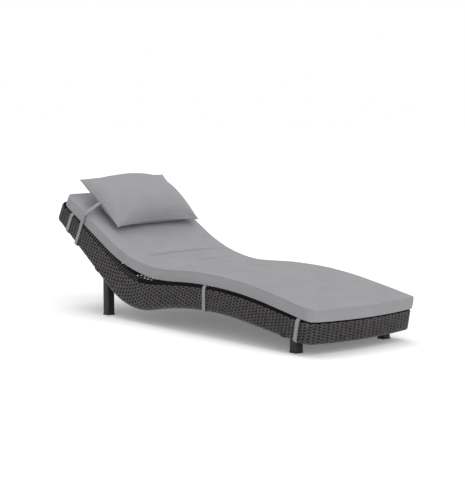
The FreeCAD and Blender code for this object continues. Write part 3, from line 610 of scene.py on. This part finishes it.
# %% Rail binding
BINDING_START, BINDING_STOP, BINDING_PITCH = 1.20, 0.01, 0.017
BINDING_WIDTH, BINDING_THICKNESS, BINDING_ROUND = 0.0066, 0.0018, 8
DECK_TAIL, TUCKED_TAIL = np.array([[0.024], [0.012]]), np.array([[0.001], [0.002]])
binding_angle = np.array([pi / 2] * 2 + [*np.linspace(pi / 2, 0, BINDING_ROUND)] + [0] * 2)[:, None]
binding_lift = np.array([-0.0012, 0] + [0.0004] * BINDING_ROUND + [0.0002, -0.0024])[:, None]
binding_turns = []
for outward in (ACROSS, -ACROSS):
    for way in np.arange(BINDING_START, deck_ends[1] - BINDING_STOP, BINDING_PITCH):
        point, normal, to_foot = deck_line.spot(way)
        face = outward * np.cos(binding_angle) + normal * np.sin(binding_angle)
        hub = point + outward * DECK_Y - normal * TOP_ROLL
        centre = hub + face * (TOP_ROLL + binding_lift)
        centre[:2] -= outward * DECK_TAIL
        centre[-2:] -= normal * TUCKED_TAIL
        binding_turns.append(ribbon(centre, -to_foot, face, BINDING_WIDTH, BINDING_THICKNESS))
binding = tubes_object("rail_binding", binding_turns, strand_finish)
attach(binding, "lounger")
print("binding turns:", len(binding_turns))

# %% [markdown]
# Each leg is a square tube wound with the same strand, turn on turn from the floor to the skirt.
# The turns are closed rings with rounded corners, each a little out of line, so it reads as handwork.
# The hidden tube, its bar, bolt and glide stay as the CAD made them, with their finishes.

# %% Leg winding
WIND_PITCH, WIND_FILL, WIND_THICKNESS = 0.0092, 0.94, 0.0026
WIND_CORNER, WIND_POINTS = 0.005, 5
WIND_STAGGER, WIND_WAVER = 0.0003, 0.0006


def heading(angle):
    """Level directions at some angles."""
    return np.stack([np.cos(angle), np.sin(angle), 0 * angle], -1)


def square_ring(half):
    """A rounded square in plan with its outward directions."""
    base = np.repeat(np.arange(4) * pi / 2, WIND_POINTS)
    normals = heading(base + np.tile(np.linspace(0, pi / 2, WIND_POINTS), 4))
    middles = heading(base + pi / 4) * (half - WIND_CORNER) * sqrt(2)
    return middles + normals * WIND_CORNER, normals


for leg in ("front_left_leg", "front_right_leg", "rear_left_leg", "rear_right_leg"):
    node = leg + "_wrap"
    low, high = (np.array(c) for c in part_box(node))
    middle = (low + high) / 2
    half = (high[0] - low[0]) / 2 - WIND_THICKNESS / 2
    turns = int((high[2] - low[2]) / WIND_PITCH)
    pitch = (high[2] - low[2]) / turns
    rings = []
    for turn in range(turns):
        plan, normal = square_ring(half - WIND_STAGGER * (turn % 2))
        plan = plan + np.array([middle[0], middle[1], low[2] + pitch * (turn + 0.5)])
        plan[:, 2] += WIND_WAVER * np.sin(np.arange(len(plan)) * 2 * pi / len(plan) + turn)
        rings.append(ribbon(plan, UPRIGHT, normal, pitch * WIND_FILL, WIND_THICKNESS))
    # The windings take the deck strand, whose low tone is partly painted shade.
    winding = tubes_object(leg + "_winding", rings, deck_and_shade_finish, closed=True)
    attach(winding, "lounger")
    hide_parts(node)
    print(winding.name, turns, "turns")

# %% [markdown]
# The mattress is one foam pad in a boxed cover: a flat underside, upright sides and a crowned top.
# It could be a stretched cube, but a cube's ends have no loops to round over or to sew along.
# So the skin of a box is laid out as a lattice, with places close together where the edges turn.

# %% Lattice of a boxed pad
PAD_HALF, PAD_THICK, PAD_CROWN = 0.319, 0.057, 0.003
PAD_OVERHANG, PAD_SETBACK = 0.002, 0.022
PAD_GAP, PAD_EDGE, PAD_BULGE, PAD_DRAW = 0.0006, 0.010, 0.004, 0.004
NEAR_CORNER, FAR_CORNER = 0.042, 0.018
PAD_LENGTH = PAD_OVERHANG + PAD_HEAD_WAY - PAD_SETBACK
LENGTH_STEP, WIDTH_STEP, THICK_STEP = 0.0135, 0.015, 0.012
FINE_FROM, FINE_TO, FINE_STEP = 1.12, 1.36, 0.005
EDGE_SHARES, EDGE_CLEAR = np.array([0, 0.3, 0.62, 1.0]), 1.6


def edge_places(length, step):
    """Places along one side of the pad, close together near both ends."""
    near, clear = PAD_EDGE * EDGE_SHARES, EDGE_CLEAR * PAD_EDGE
    inner = np.linspace(clear, length - clear, int(length / step) + 2)
    return np.concatenate([near, inner, length - near[::-1]])


def grid_quads(grid):
    """Quads that join the numbers of a grid."""
    return np.stack([grid[:-1, :-1], grid[1:, :-1], grid[1:, 1:], grid[:-1, 1:]], -1).reshape(-1, 4)


def box_skin(sides):
    """Lattice numbers and places on the skin of a box, and the quads that join them."""
    shape = tuple(len(side) for side in sides)
    numbers = np.stack(np.indices(shape), -1)
    on_skin = ((numbers == 0) | (numbers == np.array(shape) - 1)).any(-1)
    index = np.full(shape, -1)
    index[on_skin] = np.arange(on_skin.sum())
    numbers = numbers[on_skin]
    places = np.stack([side[numbers[:, axis]] for axis, side in enumerate(sides)], -1)
    quads = []
    for axis in range(3):
        for end in (0, -1):
            quad = grid_quads(np.take(index, end, axis))
            quads.append(quad[:, ::-1] if (axis == 1) != (end == 0) else quad)
    return numbers, places, np.concatenate(quads)


coarse = edge_places(PAD_LENGTH, LENGTH_STEP)
at_bend = np.arange(FINE_FROM, FINE_TO, FINE_STEP)
pad_sides = (
    np.concatenate([coarse[coarse < FINE_FROM], at_bend, coarse[coarse > FINE_TO]]),
    edge_places(2 * PAD_HALF, WIDTH_STEP) - PAD_HALF,
    edge_places(PAD_THICK, THICK_STEP),
)
pad_numbers, pad_places, pad_quads = box_skin(pad_sides)
at_end = (pad_numbers == 0) | (pad_numbers == np.array([len(side) for side in pad_sides]) - 1)
pad_seam = at_end[:, 2] & (at_end[:, 0] | at_end[:, 1])
print("pad lattice:", len(pad_places), "places,", int(pad_seam.sum()), "on the seams")

# %% [markdown]
# The lattice is rounded over at its edges and corners, then bent along the pad's own line.
# That line is stiffer than the deck's, so the pad bridges the bend below the back.
# The foot end is bowed like the frame, and the long sides draw in a little between the corners.

# %% Bend the pad along its line
SIDE_BAND = 20
low = np.array([0, -PAD_HALF, 0])
high = np.array([PAD_LENGTH, PAD_HALF, PAD_THICK])
inner = np.clip(pad_places, low + PAD_EDGE, high - PAD_EDGE)
pad_round = inner + unit(pad_places - inner) * PAD_EDGE
flat = pad_round[:, :2]
corner = np.where(flat[:, 1:] < 0, NEAR_CORNER, FAR_CORNER)
core = np.clip(flat, low[:2] + corner, high[:2] - corner)
over = (flat - core) / corner
pad_round[:, :2] = core + corner * over * np.sqrt(1 - over[:, ::-1] ** 2 / 2)
along, across, lift = pad_round.T
share = along / PAD_LENGTH
bowed = 1 - (across / PAD_HALF) ** 2
belly = 1 - (2 * lift / PAD_THICK - 1) ** 2
foot_ways = -(PAD_OVERHANG + FOOT_BOW * bowed)
pad_ways = foot_ways + share * (PAD_HEAD_WAY - PAD_SETBACK - foot_ways)
on_side = np.clip(np.abs(across) / PAD_HALF * SIDE_BAND - (SIDE_BAND - 1), 0, 1)
swell = PAD_BULGE * belly * on_side
crown = PAD_CROWN * lift / PAD_THICK * bowed
points, pad_normals = pad_line.at(pad_ways)
points[:, 1] = across * (1 - PAD_DRAW * 4 * share * (1 - share) / PAD_HALF) + np.sign(across) * swell
points += pad_normals * (PAD_GAP + lift + crown)[:, None]
mattress = smooth_object("mattress", points, pad_quads.tolist(), cloth_finish)
pad_mesh = mattress.data
print("mattress form:", len(points), "points over", round(PAD_LENGTH, 3), "m")

# %% [markdown]
# Foam pushes the cover out wherever it isn't sewn, which is what Blender's cloth pressure does.
# The seams and the underside are pinned, so the top rolls down to its seam and the sides fill.
# A cap on the movement keeps the pad within the size of its CAD solid.

# %% Cloth filling
CLOTH_STIFFNESS = 12.0


def inflate(thing, pressure, frames, cap, pins=None):
    """Blows a closed mesh up as cloth, with a cap on how far a point moves."""
    start = places_of(thing.data)
    cloth = thing.modifiers.new("filling", "CLOTH")
    settings = cloth.settings
    settings.quality = 5
    settings.mass = 0.25
    settings.tension_stiffness = settings.compression_stiffness = CLOTH_STIFFNESS
    settings.shear_stiffness = CLOTH_STIFFNESS / 2
    settings.bending_stiffness = 0.5
    settings.use_pressure = True
    settings.uniform_pressure_force = pressure
    settings.effector_weights.gravity = 0
    if pins is not None:
        group = thing.vertex_groups.new(name="sewn")
        group.add([int(i) for i in pins], 1.0, "REPLACE")
        settings.vertex_group_mass = "sewn"
    cloth.point_cache.frame_start, cloth.point_cache.frame_end = 1, frames
    for number in range(1, frames + 1):
        scene.frame_set(number)
    posed = thing.evaluated_get(bpy.context.evaluated_depsgraph_get())
    moved = places_of(posed.data) - start
    length = np.linalg.norm(moved, axis=1, keepdims=True)
    moved *= cap * np.tanh(length / cap) / np.maximum(length, 1e-9)
    thing.modifiers.remove(cloth)
    scene.frame_set(1)
    move_points(thing.data, start + moved)
    print(thing.name, "moved by", round(float(length.max()) * 1000, 1), "mm before the cap")


pins = np.flatnonzero(pad_seam | (pad_numbers[:, 2] == 0))
inflate(mattress, pressure=2.0, frames=10, cap=0.005, pins=pins)

# %% [markdown]
# The seams stand up as a fine welt with small puckers, and the cover folds where the pad bends.
# Two long creases and a faint fold cross the top there, and upright puckers run down the sides.
# A crease is a line of (across, along) marks, a depth and a width, and it has a low lip on one side.
# These are moves of a few millimetres, so they are worked straight into the points.

# %% Seams and creases
CREASES = (
    ((-0.26, 1.269), (-0.10, 1.286), (0.06, 1.296), (0.30, 1.301), 0.0080, 0.0065),
    ((-0.12, 1.157), (0.00, 1.154), (0.12, 1.155), (0.30, 1.160), 0.0055, 0.0065),
    ((-0.31, 1.356), (-0.23, 1.348), (-0.12, 1.352), (0.02, 1.364), 0.0016, 0.012),
)
CREASE_FADE, LIP_HEIGHT, LIP_PLACE, LIP_WIDTH = 0.09, 0.55, 1.9, 1.3
TOP_BAND, SLOW_RISE, SLOW_WAVES = 8, 0.0004, ((31, 9), (17, -23), (7, 37))
BEND_WAY, BEND_REACH = 1.206, 0.20
PUCKER_PITCH, PUCKER_DRIFT, DRIFT_RATE = 0.037, 1.7, 21
SIDE_PUCKER, BEND_PUCKER = 0.0005, 0.0014
WELT_RISE, WELT_PUCKER, WELT_PITCH, WELT_SLANT = 0.0016, 0.0004, 0.021, 90
points = places_of(pad_mesh)
on_top = np.clip(lift / PAD_THICK * TOP_BAND - (TOP_BAND - 1), 0, 1)
rise = np.zeros(len(points))
for *marks, depth, width in CREASES:
    ys, ways = np.array(marks).T
    fade = np.clip((across - ys[0]) / CREASE_FADE, 0, 1) * np.clip((ys[-1] - across) / CREASE_FADE, 0, 1)
    gap = (pad_ways - np.interp(across, ys, ways)) / width
    lip = LIP_HEIGHT * np.exp(-((gap - LIP_PLACE) / LIP_WIDTH) ** 2)
    rise -= depth * fade * (np.exp(-gap**2) - lip)
rise += SLOW_RISE * sum(np.sin(pad_ways * a + across * b) for a, b in SLOW_WAVES)
points += pad_normals * (rise * on_top)[:, None]
bend_weight = np.exp(-((pad_ways - BEND_WAY) / BEND_REACH) ** 2)
drift = PUCKER_DRIFT * np.sin(pad_ways * DRIFT_RATE)
pucker = np.sin(pad_ways * 2 * pi / PUCKER_PITCH + drift)
points[:, 1] += np.sign(across) * on_side * belly * pucker * (SIDE_PUCKER + BEND_PUCKER * bend_weight)
outwards = pad_normals * (np.sign(lift - PAD_THICK / 2) * at_end[:, 2])[:, None]
outwards[:, 1] += np.sign(across) * at_end[:, 1]
ends = np.where(at_end[:, 0], np.sign(along - PAD_LENGTH / 2), 0)
outwards += np.stack([-pad_normals[:, 2], 0 * ends, pad_normals[:, 0]], -1) * ends[:, None]
welt = WELT_RISE + WELT_PUCKER * np.sin(pad_ways * 2 * pi / WELT_PITCH + across * WELT_SLANT)
points[pad_seam] += (outwards * welt[:, None])[pad_seam]
move_points(pad_mesh, points)
print("creases:", len(CREASES))

# %% [markdown]
# A pillow is two sheets sewn round their edge and filled, so it starts as a lens with a flat seam.
# Its sides draw in between four pinched corners, it is fullest towards the foot, and it rests flatter.
# Blown up a little as cloth, it takes the small gathers that filling gives near the seam.

# %% Pillow form
PILLOW_WIDTH, PILLOW_DEPTH, PILLOW_RISE, PILLOW_DROP = 0.556, 0.375, 0.089, 0.052
PILLOW_COUNTS, CROWDING = (38, 54), 0.86
SEAM_SHARE, SEAM_LIFT, RISE_ROOM, DROP_ROOM = 0.982, 0.0012, 0.006, 0.005
RIDGE, FOOT_ROUND, HEAD_ROUND, LONG_POWER = 0.30, 2.0, 3.0, 0.50
SIDE_ROUND, NEAR_POWER, FAR_POWER, FAR_CHANGE = 2.3, 0.42, 0.64, 0.28
PINCH, PINCH_POWER, REST_POWER = 0.75, 1.6, 1.7
FOOT_DRAW, HEAD_DRAW, SIDE_DRAW = 0.10, 0.045, 0.06


def pillow_steps(count):
    """Places across the pillow from -1 to 1, with a narrow flat seam at each end."""
    inner = np.sin(np.linspace(-1, 1, count) * pi / 2 * CROWDING) / sin(pi / 2 * CROWDING)
    return np.concatenate([[-1], inner * SEAM_SHARE, [1]])


gx, gy = np.meshgrid(*(pillow_steps(count) for count in PILLOW_COUNTS), indexing="ij")
rim = (np.abs(gx) == 1) | (np.abs(gy) == 1)
off_ridge = gx / SEAM_SHARE + RIDGE
below_ridge = off_ridge < 0
off_ridge = np.abs(off_ridge) / np.where(below_ridge, 1 - RIDGE, 1 + RIDGE)
fill = np.clip(1 - off_ridge ** np.where(below_ridge, FOOT_ROUND, HEAD_ROUND), 0, 1) ** LONG_POWER
side_power = np.where(gy > 0, NEAR_POWER, FAR_POWER + FAR_CHANGE * gx)
fill *= np.clip(1 - np.abs(gy / SEAM_SHARE) ** SIDE_ROUND, 0, 1) ** side_power
fill *= 1 - PINCH * np.abs(gx * gy) ** PINCH_POWER
draw_x = np.where(gx < 0, FOOT_DRAW, HEAD_DRAW) * (1 - gy**2)
draw_y = SIDE_DRAW * (1 - gx**2)
plan = [gx * PILLOW_DEPTH / 2 * (1 - draw_x), gy * PILLOW_WIDTH / 2 * (1 - draw_y)]
resting = (1 - np.exp(-REST_POWER * fill)) / (1 - exp(-REST_POWER))
upper = np.stack(plan + [SEAM_LIFT + (PILLOW_RISE - RISE_ROOM) * fill], -1).reshape(-1, 3)
lower = np.stack(plan + [-SEAM_LIFT - (PILLOW_DROP - DROP_ROOM) * resting], -1).reshape(-1, 3)
upper[rim.ravel(), 2] = 0
index = np.arange(gx.size).reshape(gx.shape)
under = index.copy()
inner = np.flatnonzero(~rim.ravel())
under.ravel()[inner] = gx.size + np.arange(len(inner))
faces = grid_quads(index).tolist() + grid_quads(under)[:, ::-1].tolist()
pillow = smooth_object("pillow", np.concatenate([upper, lower[inner]]), faces, cloth_finish)
pillow_mesh = pillow.data
print("pillow form:", len(faces), "faces")
inflate(pillow, pressure=3.0, frames=12, cap=0.007)

# %% [markdown]
# Cloth draws the seam in a little, so the pillow is brought back to the size that the CAD gives it.
# Gathers fan out from each corner, where two seams pull, and from where the strap pulls.
# The lower edge has nothing under it, so it sags a little, and one of its corners has been pushed in.

# %% Size and gathers of the pillow
PILLOW_SAG, CORNER_PUSH, STRAP_PULL = 0.016, 0.018, -0.06
PULLS = ((1, 1), (1, -1), (-1, 1), (-1, -1), (STRAP_PULL, 1), (STRAP_PULL, -1))
GATHER_PLACE, GATHER_REACH, GATHER_DEPTH, GATHER_FOLDS = 0.075, 0.05, 0.0032, 11
points = places_of(pillow_mesh)
points[:, 0] *= PILLOW_DEPTH / np.ptp(points[:, 0])
points[:, 1] *= PILLOW_WIDTH / np.ptp(points[:, 1])
tall = np.where(points[:, 2] > 0, PILLOW_RISE / points[:, 2].max(), PILLOW_DROP / -points[:, 2].min())
points[:, 2] *= tall
for pull_x, pull_y in PULLS:
    away = points[:, :2] - np.array([pull_x * PILLOW_DEPTH / 2, pull_y * PILLOW_WIDTH / 2])
    distance = np.linalg.norm(away, axis=1)
    angle = np.arctan2(away[:, 1] * -pull_y, away[:, 0] * -pull_x)
    near = np.exp(-((distance - GATHER_PLACE) / GATHER_REACH) ** 2)
    folds = np.sin(angle * GATHER_FOLDS + pull_x + 2 * pull_y)
    points[:, 2] += np.sign(points[:, 2]) * GATHER_DEPTH * near * folds
to_foot = np.clip(-2 * points[:, 0] / PILLOW_DEPTH, 0, 1)
to_near = np.clip(2 * points[:, 1] / PILLOW_WIDTH, 0, 1)
points[:, 2] -= PILLOW_SAG * to_foot**2
points[:, 1] -= CORNER_PUSH * (to_foot * to_near) ** 2
move_points(pillow_mesh, points)
print("pillow measures", [round(float(v), 3) for v in np.ptp(points, axis=0)])

# %% [markdown]
# The pillow lies on the back, tipped up a little at its upper edge and turned a few degrees, as it was left.
# It is laid at the middle of its CAD solid and then sinks in a little, so it slides on the same line.
# What would sink into the mattress is pressed flat against it.

# %% Lay the pillow
PAD_TOP, PILLOW_SINK, PILLOW_TURN, PILLOW_TIP = 0.0660, 0.004, 2.5, -7
back_point, back_normal, _ = deck_line.spot(HEAD_WAY)
back_up = Vector(back_normal)
back_step = Vector((-back_up.z, 0, back_up.x))
low, high = (Vector(c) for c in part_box("pillow_cover"))
place = (low + high) / 2
lie = Matrix((back_step, Vector((0, -1, 0)), back_up)).transposed()
for angle, axis in ((PILLOW_TURN, "Z"), (PILLOW_TIP, "Y")):
    lie = lie @ Matrix.Rotation(radians(angle), 3, axis)
pillow.matrix_world = Matrix.Translation(place) @ lie.to_4x4()
bpy.context.view_layer.update()
corners = np.array([pillow.matrix_world @ v.co for v in pillow_mesh.vertices])
middle = Vector((corners.min(0) + corners.max(0)) / 2)
pillow.matrix_world = Matrix.Translation(place - middle - PILLOW_SINK * back_up) @ pillow.matrix_world
pillow_mesh.transform(pillow.matrix_world)
pillow.matrix_world = Matrix.Identity(4)
points = places_of(pillow_mesh)
height = (points - back_point) @ back_normal
points += back_normal * np.maximum(PAD_TOP - height, 0)[:, None]
move_points(pillow_mesh, points)
for soft, body, nodes, fill in (
    (mattress, "lounger", ("mattress_cover", "mattress_foam"), 0.85),
    (pillow, "headrest", ("pillow_cover", "pillow_filling"), 0.7),
):
    smooth = soft.modifiers.new("smooth", "SUBSURF")
    smooth.levels = smooth.render_levels = 1
    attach(soft, body)
    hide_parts(*nodes)
print("pillow laid at", [round(v, 3) for v in place])

# %% [markdown]
# Flat webbing holds the cushions: three straps leave the mattress's lower seam and pass under the frame.
# A fourth is sewn to the short seams of the pillow and goes round the back, so the pillow can slide with it.
# Webbing is a ribbon with fine ribs along it, so its section is drawn with ribs and carried along its way.

# %% Webbing
STRAP_WIDTH, STRAP_THICKNESS, STRAP_SIDE, STRAP_STEP = 0.022, 0.0016, 0.3252, 0.02
STRAP_GAP, EASE_REACH, EASE_SHARE, EASE_POINTS = 0.0014, 0.012, 2.2, 7
RIBS, RIB_TOP, RIB_FOOT, RIB_EDGE = 9, 0.5, 0.30, 0.12
SEAM_SPOT, STRAP_SHOULDER = (0.3155, 0.0012), -0.009
rib_height = np.where(np.arange(2 * RIBS + 1) % 2 == 1, RIB_TOP, RIB_FOOT)
rib_height[[0, -1]] = RIB_EDGE
ribbed = np.stack([np.linspace(-0.5, 0.5, 2 * RIBS + 1), rib_height], -1)
STRAP_RING = np.concatenate([ribbed, ribbed[::-1] * (1, -1)])


def strap_station(distance):
    """Middle of a strap on the deck's line, its step towards the head and its upward direction."""
    edges = (distance - STRAP_WIDTH / 2, distance + STRAP_WIDTH / 2)
    (foot_side, head_side), _ = deck_line.at(np.array([deck_line.way_at(edge) for edge in edges]))
    step = unit(head_side - foot_side)
    return (foot_side + head_side) / 2, step, np.array([step[2], 0, -step[0]])


def strap_drop(middle, step, up, reach):
    """How far down a strap passes below the skirt, taken at its lower edge."""
    skirt_points, _ = skirt_line.at(SKIRT_WAYS)
    drops = []
    for shift in (-reach, reach):
        gap = skirt_points - (middle + step * shift)
        below = gap @ up < 0
        drops.append(-(gap @ up)[below][np.argmin(np.abs(gap @ step)[below])])
    return max(drops) + STRAP_GAP


def soft_corners(spots):
    """A run of (side, lift) spots with its corners eased, as webbing goes round an edge."""
    spots = [np.array(spot) for spot in spots]
    run = [spots[0]]
    for before, corner, after in zip(spots, spots[1:], spots[2:]):
        ease = min(EASE_REACH, *(np.linalg.norm(spot - corner) / EASE_SHARE for spot in (before, after)))
        start, end = corner + unit(before - corner) * ease, corner + unit(after - corner) * ease
        for t in np.linspace(0, 1, EASE_POINTS):
            run.append((1 - t) ** 2 * start + 2 * t * (1 - t) * corner + t**2 * end)
    return np.array(run + [spots[-1]])


def strap_object(name, station, spots, body, node):
    """A strap along (side, lift) spots, attached to its body in place of its CAD part."""
    middle, step, up = station
    run = soft_corners(spots)
    stops = np.concatenate([[0], np.cumsum(np.linalg.norm(np.diff(run, axis=0), axis=1))])
    fine = np.unique(np.concatenate([stops, np.arange(0, stops[-1], STRAP_STEP)]))
    run = np.stack([np.interp(fine, stops, run[:, i]) for i in range(2)], -1)
    tangent = unit(np.gradient(run, axis=0))
    centre = middle + ACROSS * run[:, :1] + up * run[:, 1:]
    outward = ACROSS * tangent[:, 1:] - up * tangent[:, :1]
    rings = ribbon(centre, step, outward, STRAP_WIDTH, STRAP_THICKNESS, STRAP_RING)
    piece = tubes_object(name, [rings], webbing_finish)
    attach(piece, body)
    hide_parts(node)
    print(name, "cut", round(float(stops[-1]), 3), "m")
    return centre, outward


for name, distance in (("head_strap", 1.748), ("middle_strap", 0.684), ("foot_strap", 0.066)):
    station = strap_station(distance)
    drop = strap_drop(*station, STRAP_WIDTH / 2)
    side_run = [SEAM_SPOT, (STRAP_SIDE, STRAP_SHOULDER), (STRAP_SIDE, -drop)]
    spots = [(-y, z) for y, z in side_run] + side_run[::-1]
    strap_object(name + "_webbing", station, spots, "lounger", name)

# %% [markdown]
# The pillow's strap starts inside the pillow's seam, so its ends are read from the pillow that was laid.
# It slants out to the mattress's top edge and turns down there, and it hangs a little below the skirt.
# A few short stitches across each end show where it is sewn.

# %% The pillow's strap
LOOP_AT, LOOP_SLIDE, SEAM_BAND, SEWN_IN = 1.662, 0.055, 0.008, 0.004
PAD_SIDE, PAD_SHOULDER, PAD_FOOT = 0.3258, 0.0592, -0.004
STITCH_ROWS, STITCH_START, STITCH_PITCH = 4, 0.007, 0.003
STITCH_POINTS, STITCH_HALF, STITCH_THREAD = 13, 0.0095, 0.0009
STITCH_LIFT, STITCH_LOOP = 0.0007, 0.0004
station = strap_station(LOOP_AT)
middle, step, up = station
drop = strap_drop(*station, STRAP_WIDTH / 2 + LOOP_SLIDE)
corners = places_of(pillow_mesh) - middle
beside = corners[np.abs(corners @ step) < SEAM_BAND]
runs = []
for end, side in ((beside[np.argmin(beside[:, 1])], -1), (beside[np.argmax(beside[:, 1])], 1)):
    sewn = (end[1] - side * SEWN_IN, end @ up)
    pad_spots = [(side * PAD_SIDE, PAD_SHOULDER), (side * PAD_SIDE, PAD_FOOT)]
    runs.append([sewn, *pad_spots, (side * STRAP_SIDE, -drop)])
spots = runs[0] + runs[1][::-1]
centre, outward = strap_object("pillow_strap_webbing", station, spots, "headrest", "pillow_strap")
line = np.linspace(-STITCH_HALF, STITCH_HALF, STITCH_POINTS)[:, None]
loops = STITCH_LIFT + STITCH_LOOP * np.abs(np.sin(np.arange(STITCH_POINTS) * pi / 2))[:, None]
stitches = []
for end in (slice(0, 2), slice(-1, -3, -1)):
    (first, second), face = centre[end], outward[end][0]
    along_strap = unit(second - first)
    for row in range(STITCH_ROWS):
        start = first + along_strap * (STITCH_START + STITCH_PITCH * row)
        thread = start + step * line + face * loops
        stitches.append(ribbon(thread, along_strap, face, STITCH_THREAD, STITCH_THREAD))
thread_rows = tubes_object("strap_stitches", stitches, cloth_finish)
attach(thread_rows, "headrest")
print("stitch rows:", len(stitches))

# %% [markdown]
# Where a leg meets the skirt's lower rail, a few turns of strand lash the joint.
# They show beside each leg as a small dark lump under the skirt, on the side towards the head.

# %% Lashings
LASH_TURNS, LASH_START, LASH_PITCH, LASH_POINTS = 3, 0.006, 0.0085, 20
LASH_LIFT, LASH_WIDTH, LASH_THICKNESS = 0.0022, 0.0078, 0.0026
lashing_rings = []
turn = np.linspace(0, 2 * pi, LASH_POINTS, endpoint=False)[:, None]
for row in ("front", "rear"):
    low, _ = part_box(row + "_left_leg_wrap")
    for number in range(LASH_TURNS):
        level = FOOT_X - low[0] + LASH_START + LASH_PITCH * number
        point, normal, to_foot = skirt_line.spot(skirt_line.way_at(level))
        face = ACROSS * np.cos(turn) + normal * np.sin(turn)
        for side in (1, -1):
            hub = point + normal * LOW_ROLL + ACROSS * side * (HALF_WIDTH - LOW_ROLL)
            centre = hub + face * (LOW_ROLL + LASH_LIFT)
            lashing_rings.append(ribbon(centre, to_foot, face, LASH_WIDTH, LASH_THICKNESS))
lashings = tubes_object("leg_lashings", lashing_rings, deck_and_shade_finish, closed=True)
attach(lashings, "lounger")
print("lashing turns:", len(lashing_rings))

# %% [markdown]
# What still shows of the CAD keeps its shape and gets a finish for each of the record's slots.
# The tubes and glides only peep out below, but the lounger is looked at from every side.

# %% CAD pieces that stay
slot_finish = {
    "frame_tube": tube_finish, "glide": glide_finish, "fastener": zinc_finish, "webbing": webbing_finish,
    "strand": strand_finish, "cushion_cloth": cloth_finish, "filling": cloth_finish,
}
dressed = 0
for entry in frame["record"]["subparts"]:
    node = frame["nodes"][entry["node"]]
    if node.hide_render:
        continue
    node.data.materials.clear()
    node.data.materials.append(slot_finish[entry["material_slot"]])
    dressed += 1
print("CAD pieces with a finish:", dressed)
